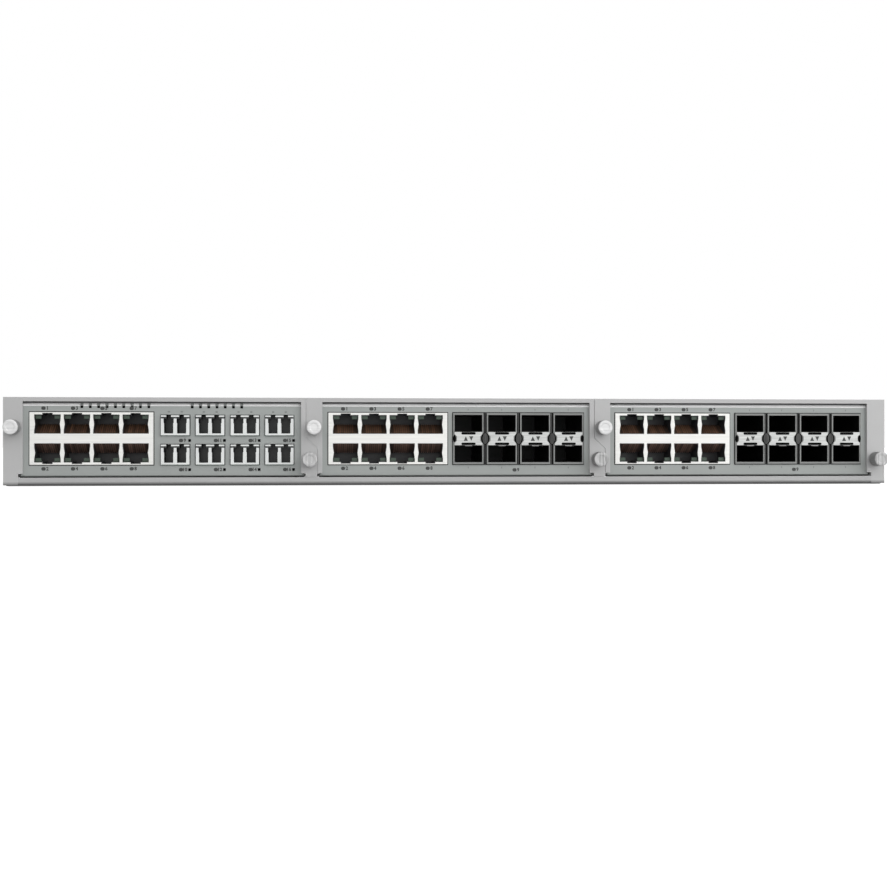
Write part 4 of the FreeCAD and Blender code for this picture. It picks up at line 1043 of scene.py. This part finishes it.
# %% Fill the boards
for module in MODULES:
    low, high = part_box(f"module_board_{module}")
    floor = Vector(((low.x + high.x) / 2, high.y, high.z))
    sinks, chips, cans = bmesh.new(), bmesh.new(), bmesh.new()
    add_heat_sink(sinks, floor + SINK_PLACE)
    for place in CHIP_PLACES:
        add_standing_box(chips, floor + place, CHIP_SIZE)
    jack_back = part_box(f"jack_shield_{module}")[1].y
    for x in column_places(middle(f"jack_shield_{module}").x, SOCKET_PITCH):
        add_standing_box(chips, Vector((x, jack_back + PULSE_GAP, floor.z)), PULSE_SIZE)
    for place in CAN_PLACES:
        add_turned(cans, [(0.0, 0.0), (0.0, CAN_RADIUS), (CAN_RISE - CAN_RIM, CAN_RADIUS),
                          (CAN_RISE, CAN_RADIUS - CAN_RIM), (CAN_RISE, 0.0)], floor + place, (0, 0, 1))
    body = f"module_{module}"
    finish_piece(f"heat_sink_{module}", sinks, body, black_plastic)
    finish_piece(f"board_chips_{module}", chips, body, black_plastic)
    finish_piece(f"capacitors_{module}", cans, body, bare_metal, smooth=True)


# %% [markdown]
# ## Floor and light
#
# The photograph is a plain catalogue shot on white. A large floor keeps the unit's shadow and is white for the
# camera, but reflects less into the unit, whose lowest fold is dark in the photograph. A lamp in front and above
# gives the knobs their small shadows, and a large softbox brightens the right.

# %% Floor
FLOOR_DROP = 0.2 * MM
FLOOR_GLOW = 0.8
FLOOR_HALF = 6.0


def seen_directly(tree):
    """A mask of the rays from the camera, and of those that metal or glass sends on."""
    path = tree.nodes.new("ShaderNodeLightPath")
    seen = math_node(tree, "MAXIMUM", path.outputs["Is Camera Ray"], path.outputs["Is Glossy Ray"])
    return math_node(tree, "MAXIMUM", seen, path.outputs["Is Transmission Ray"])


def white_floor():
    """A floor that is white to the camera, apart from the unit's shadow."""
    bm = bmesh.new()
    bmesh.ops.create_grid(bm, x_segments=1, y_segments=1, size=FLOOR_HALF)
    bmesh.ops.translate(bm, vec=(0, 0, -FLOOR_DROP), verts=bm.verts)
    mesh = bpy.data.meshes.new("floor")
    bm.to_mesh(mesh)
    bm.free()
    floor = bpy.data.objects.new("floor", mesh)
    bpy.context.scene.collection.objects.link(floor)
    material, tree, shader = new_finish("white floor", (0.4, 0.4, 0.4), 0.9)
    shader.inputs["Emission Color"].default_value = (1.0, 1.0, 1.0, 1.0)
    glow = math_node(tree, "MULTIPLY", seen_directly(tree), FLOOR_GLOW)
    tree.links.new(glow, shader.inputs["Emission Strength"])
    mesh.materials.append(material)


white_floor()
print("floor laid")


# %% World and lamps
WORLD_LEVEL = 0.64
AIM = (0.0, -0.1, 0.02)


def white_world():
    """Even light from all round, white where the camera or a reflection looks into it."""
    world = bpy.data.worlds.new("studio")
    world.use_nodes = True
    bpy.context.scene.world = world
    tree = world.node_tree
    tree.links.new(span(tree, seen_directly(tree), WORLD_LEVEL, 1.0), tree.nodes["Background"].inputs["Strength"])
    tree.nodes["Background"].inputs["Color"].default_value = (1.0, 1.0, 1.0, 1.0)


def add_lamp(name, place, size, power):
    """A square lamp that faces the unit's front."""
    light = bpy.data.lights.new(name, "AREA")
    light.shape = "SQUARE"
    light.size = size
    light.energy = power
    lamp = bpy.data.objects.new(name, light)
    lamp.location = place
    lamp.rotation_euler = (Vector(AIM) - Vector(place)).to_track_quat("-Z", "Y").to_euler()
    bpy.context.scene.collection.objects.link(lamp)


white_world()
add_lamp("key lamp", place=(0.0, -2.2, 0.7), size=2.2, power=15.5)
add_lamp("side softbox", place=(0.95, -0.9, 0.4), size=1.4, power=9.5)
print("studio ready")


# %% [markdown]
# ## Camera
#
# The photograph was taken almost straight on. The camera stands level with the unit's middle, left of its centre, and
# looks slightly to the right. Its numbers were fitted to points of the unit in the photograph, so that the render can
# be compared with it.

# %% Camera
IMAGE_WIDTH = 887.0
FOCAL_PIXELS = 1426.0
CAMERA_DISTANCE = 0.7043
CAMERA_X, CAMERA_Z = -0.0776, 0.0206
CAMERA_TURN = 0.10005
SENSOR = 36.0
CLIP_START = 0.01


def photo_camera():
    """A level camera at the photograph's place, turned slightly to the right."""
    camera = bpy.data.cameras.new("photo camera")
    camera.sensor_width = SENSOR
    camera.lens = SENSOR * FOCAL_PIXELS / IMAGE_WIDTH
    camera.clip_start = CLIP_START
    shot = bpy.data.objects.new("photo camera", camera)
    shot.location = (CAMERA_X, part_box("front_panel_1")[0].y - CAMERA_DISTANCE, CAMERA_Z)
    shot.rotation_euler = (math.pi / 2, 0, -CAMERA_TURN)
    bpy.context.scene.collection.objects.link(shot)
    bpy.context.scene.camera = shot
    print(f"camera lens: {camera.lens:.1f} mm")


photo_camera()
bpy.context.scene.view_settings.view_transform = "Standard"
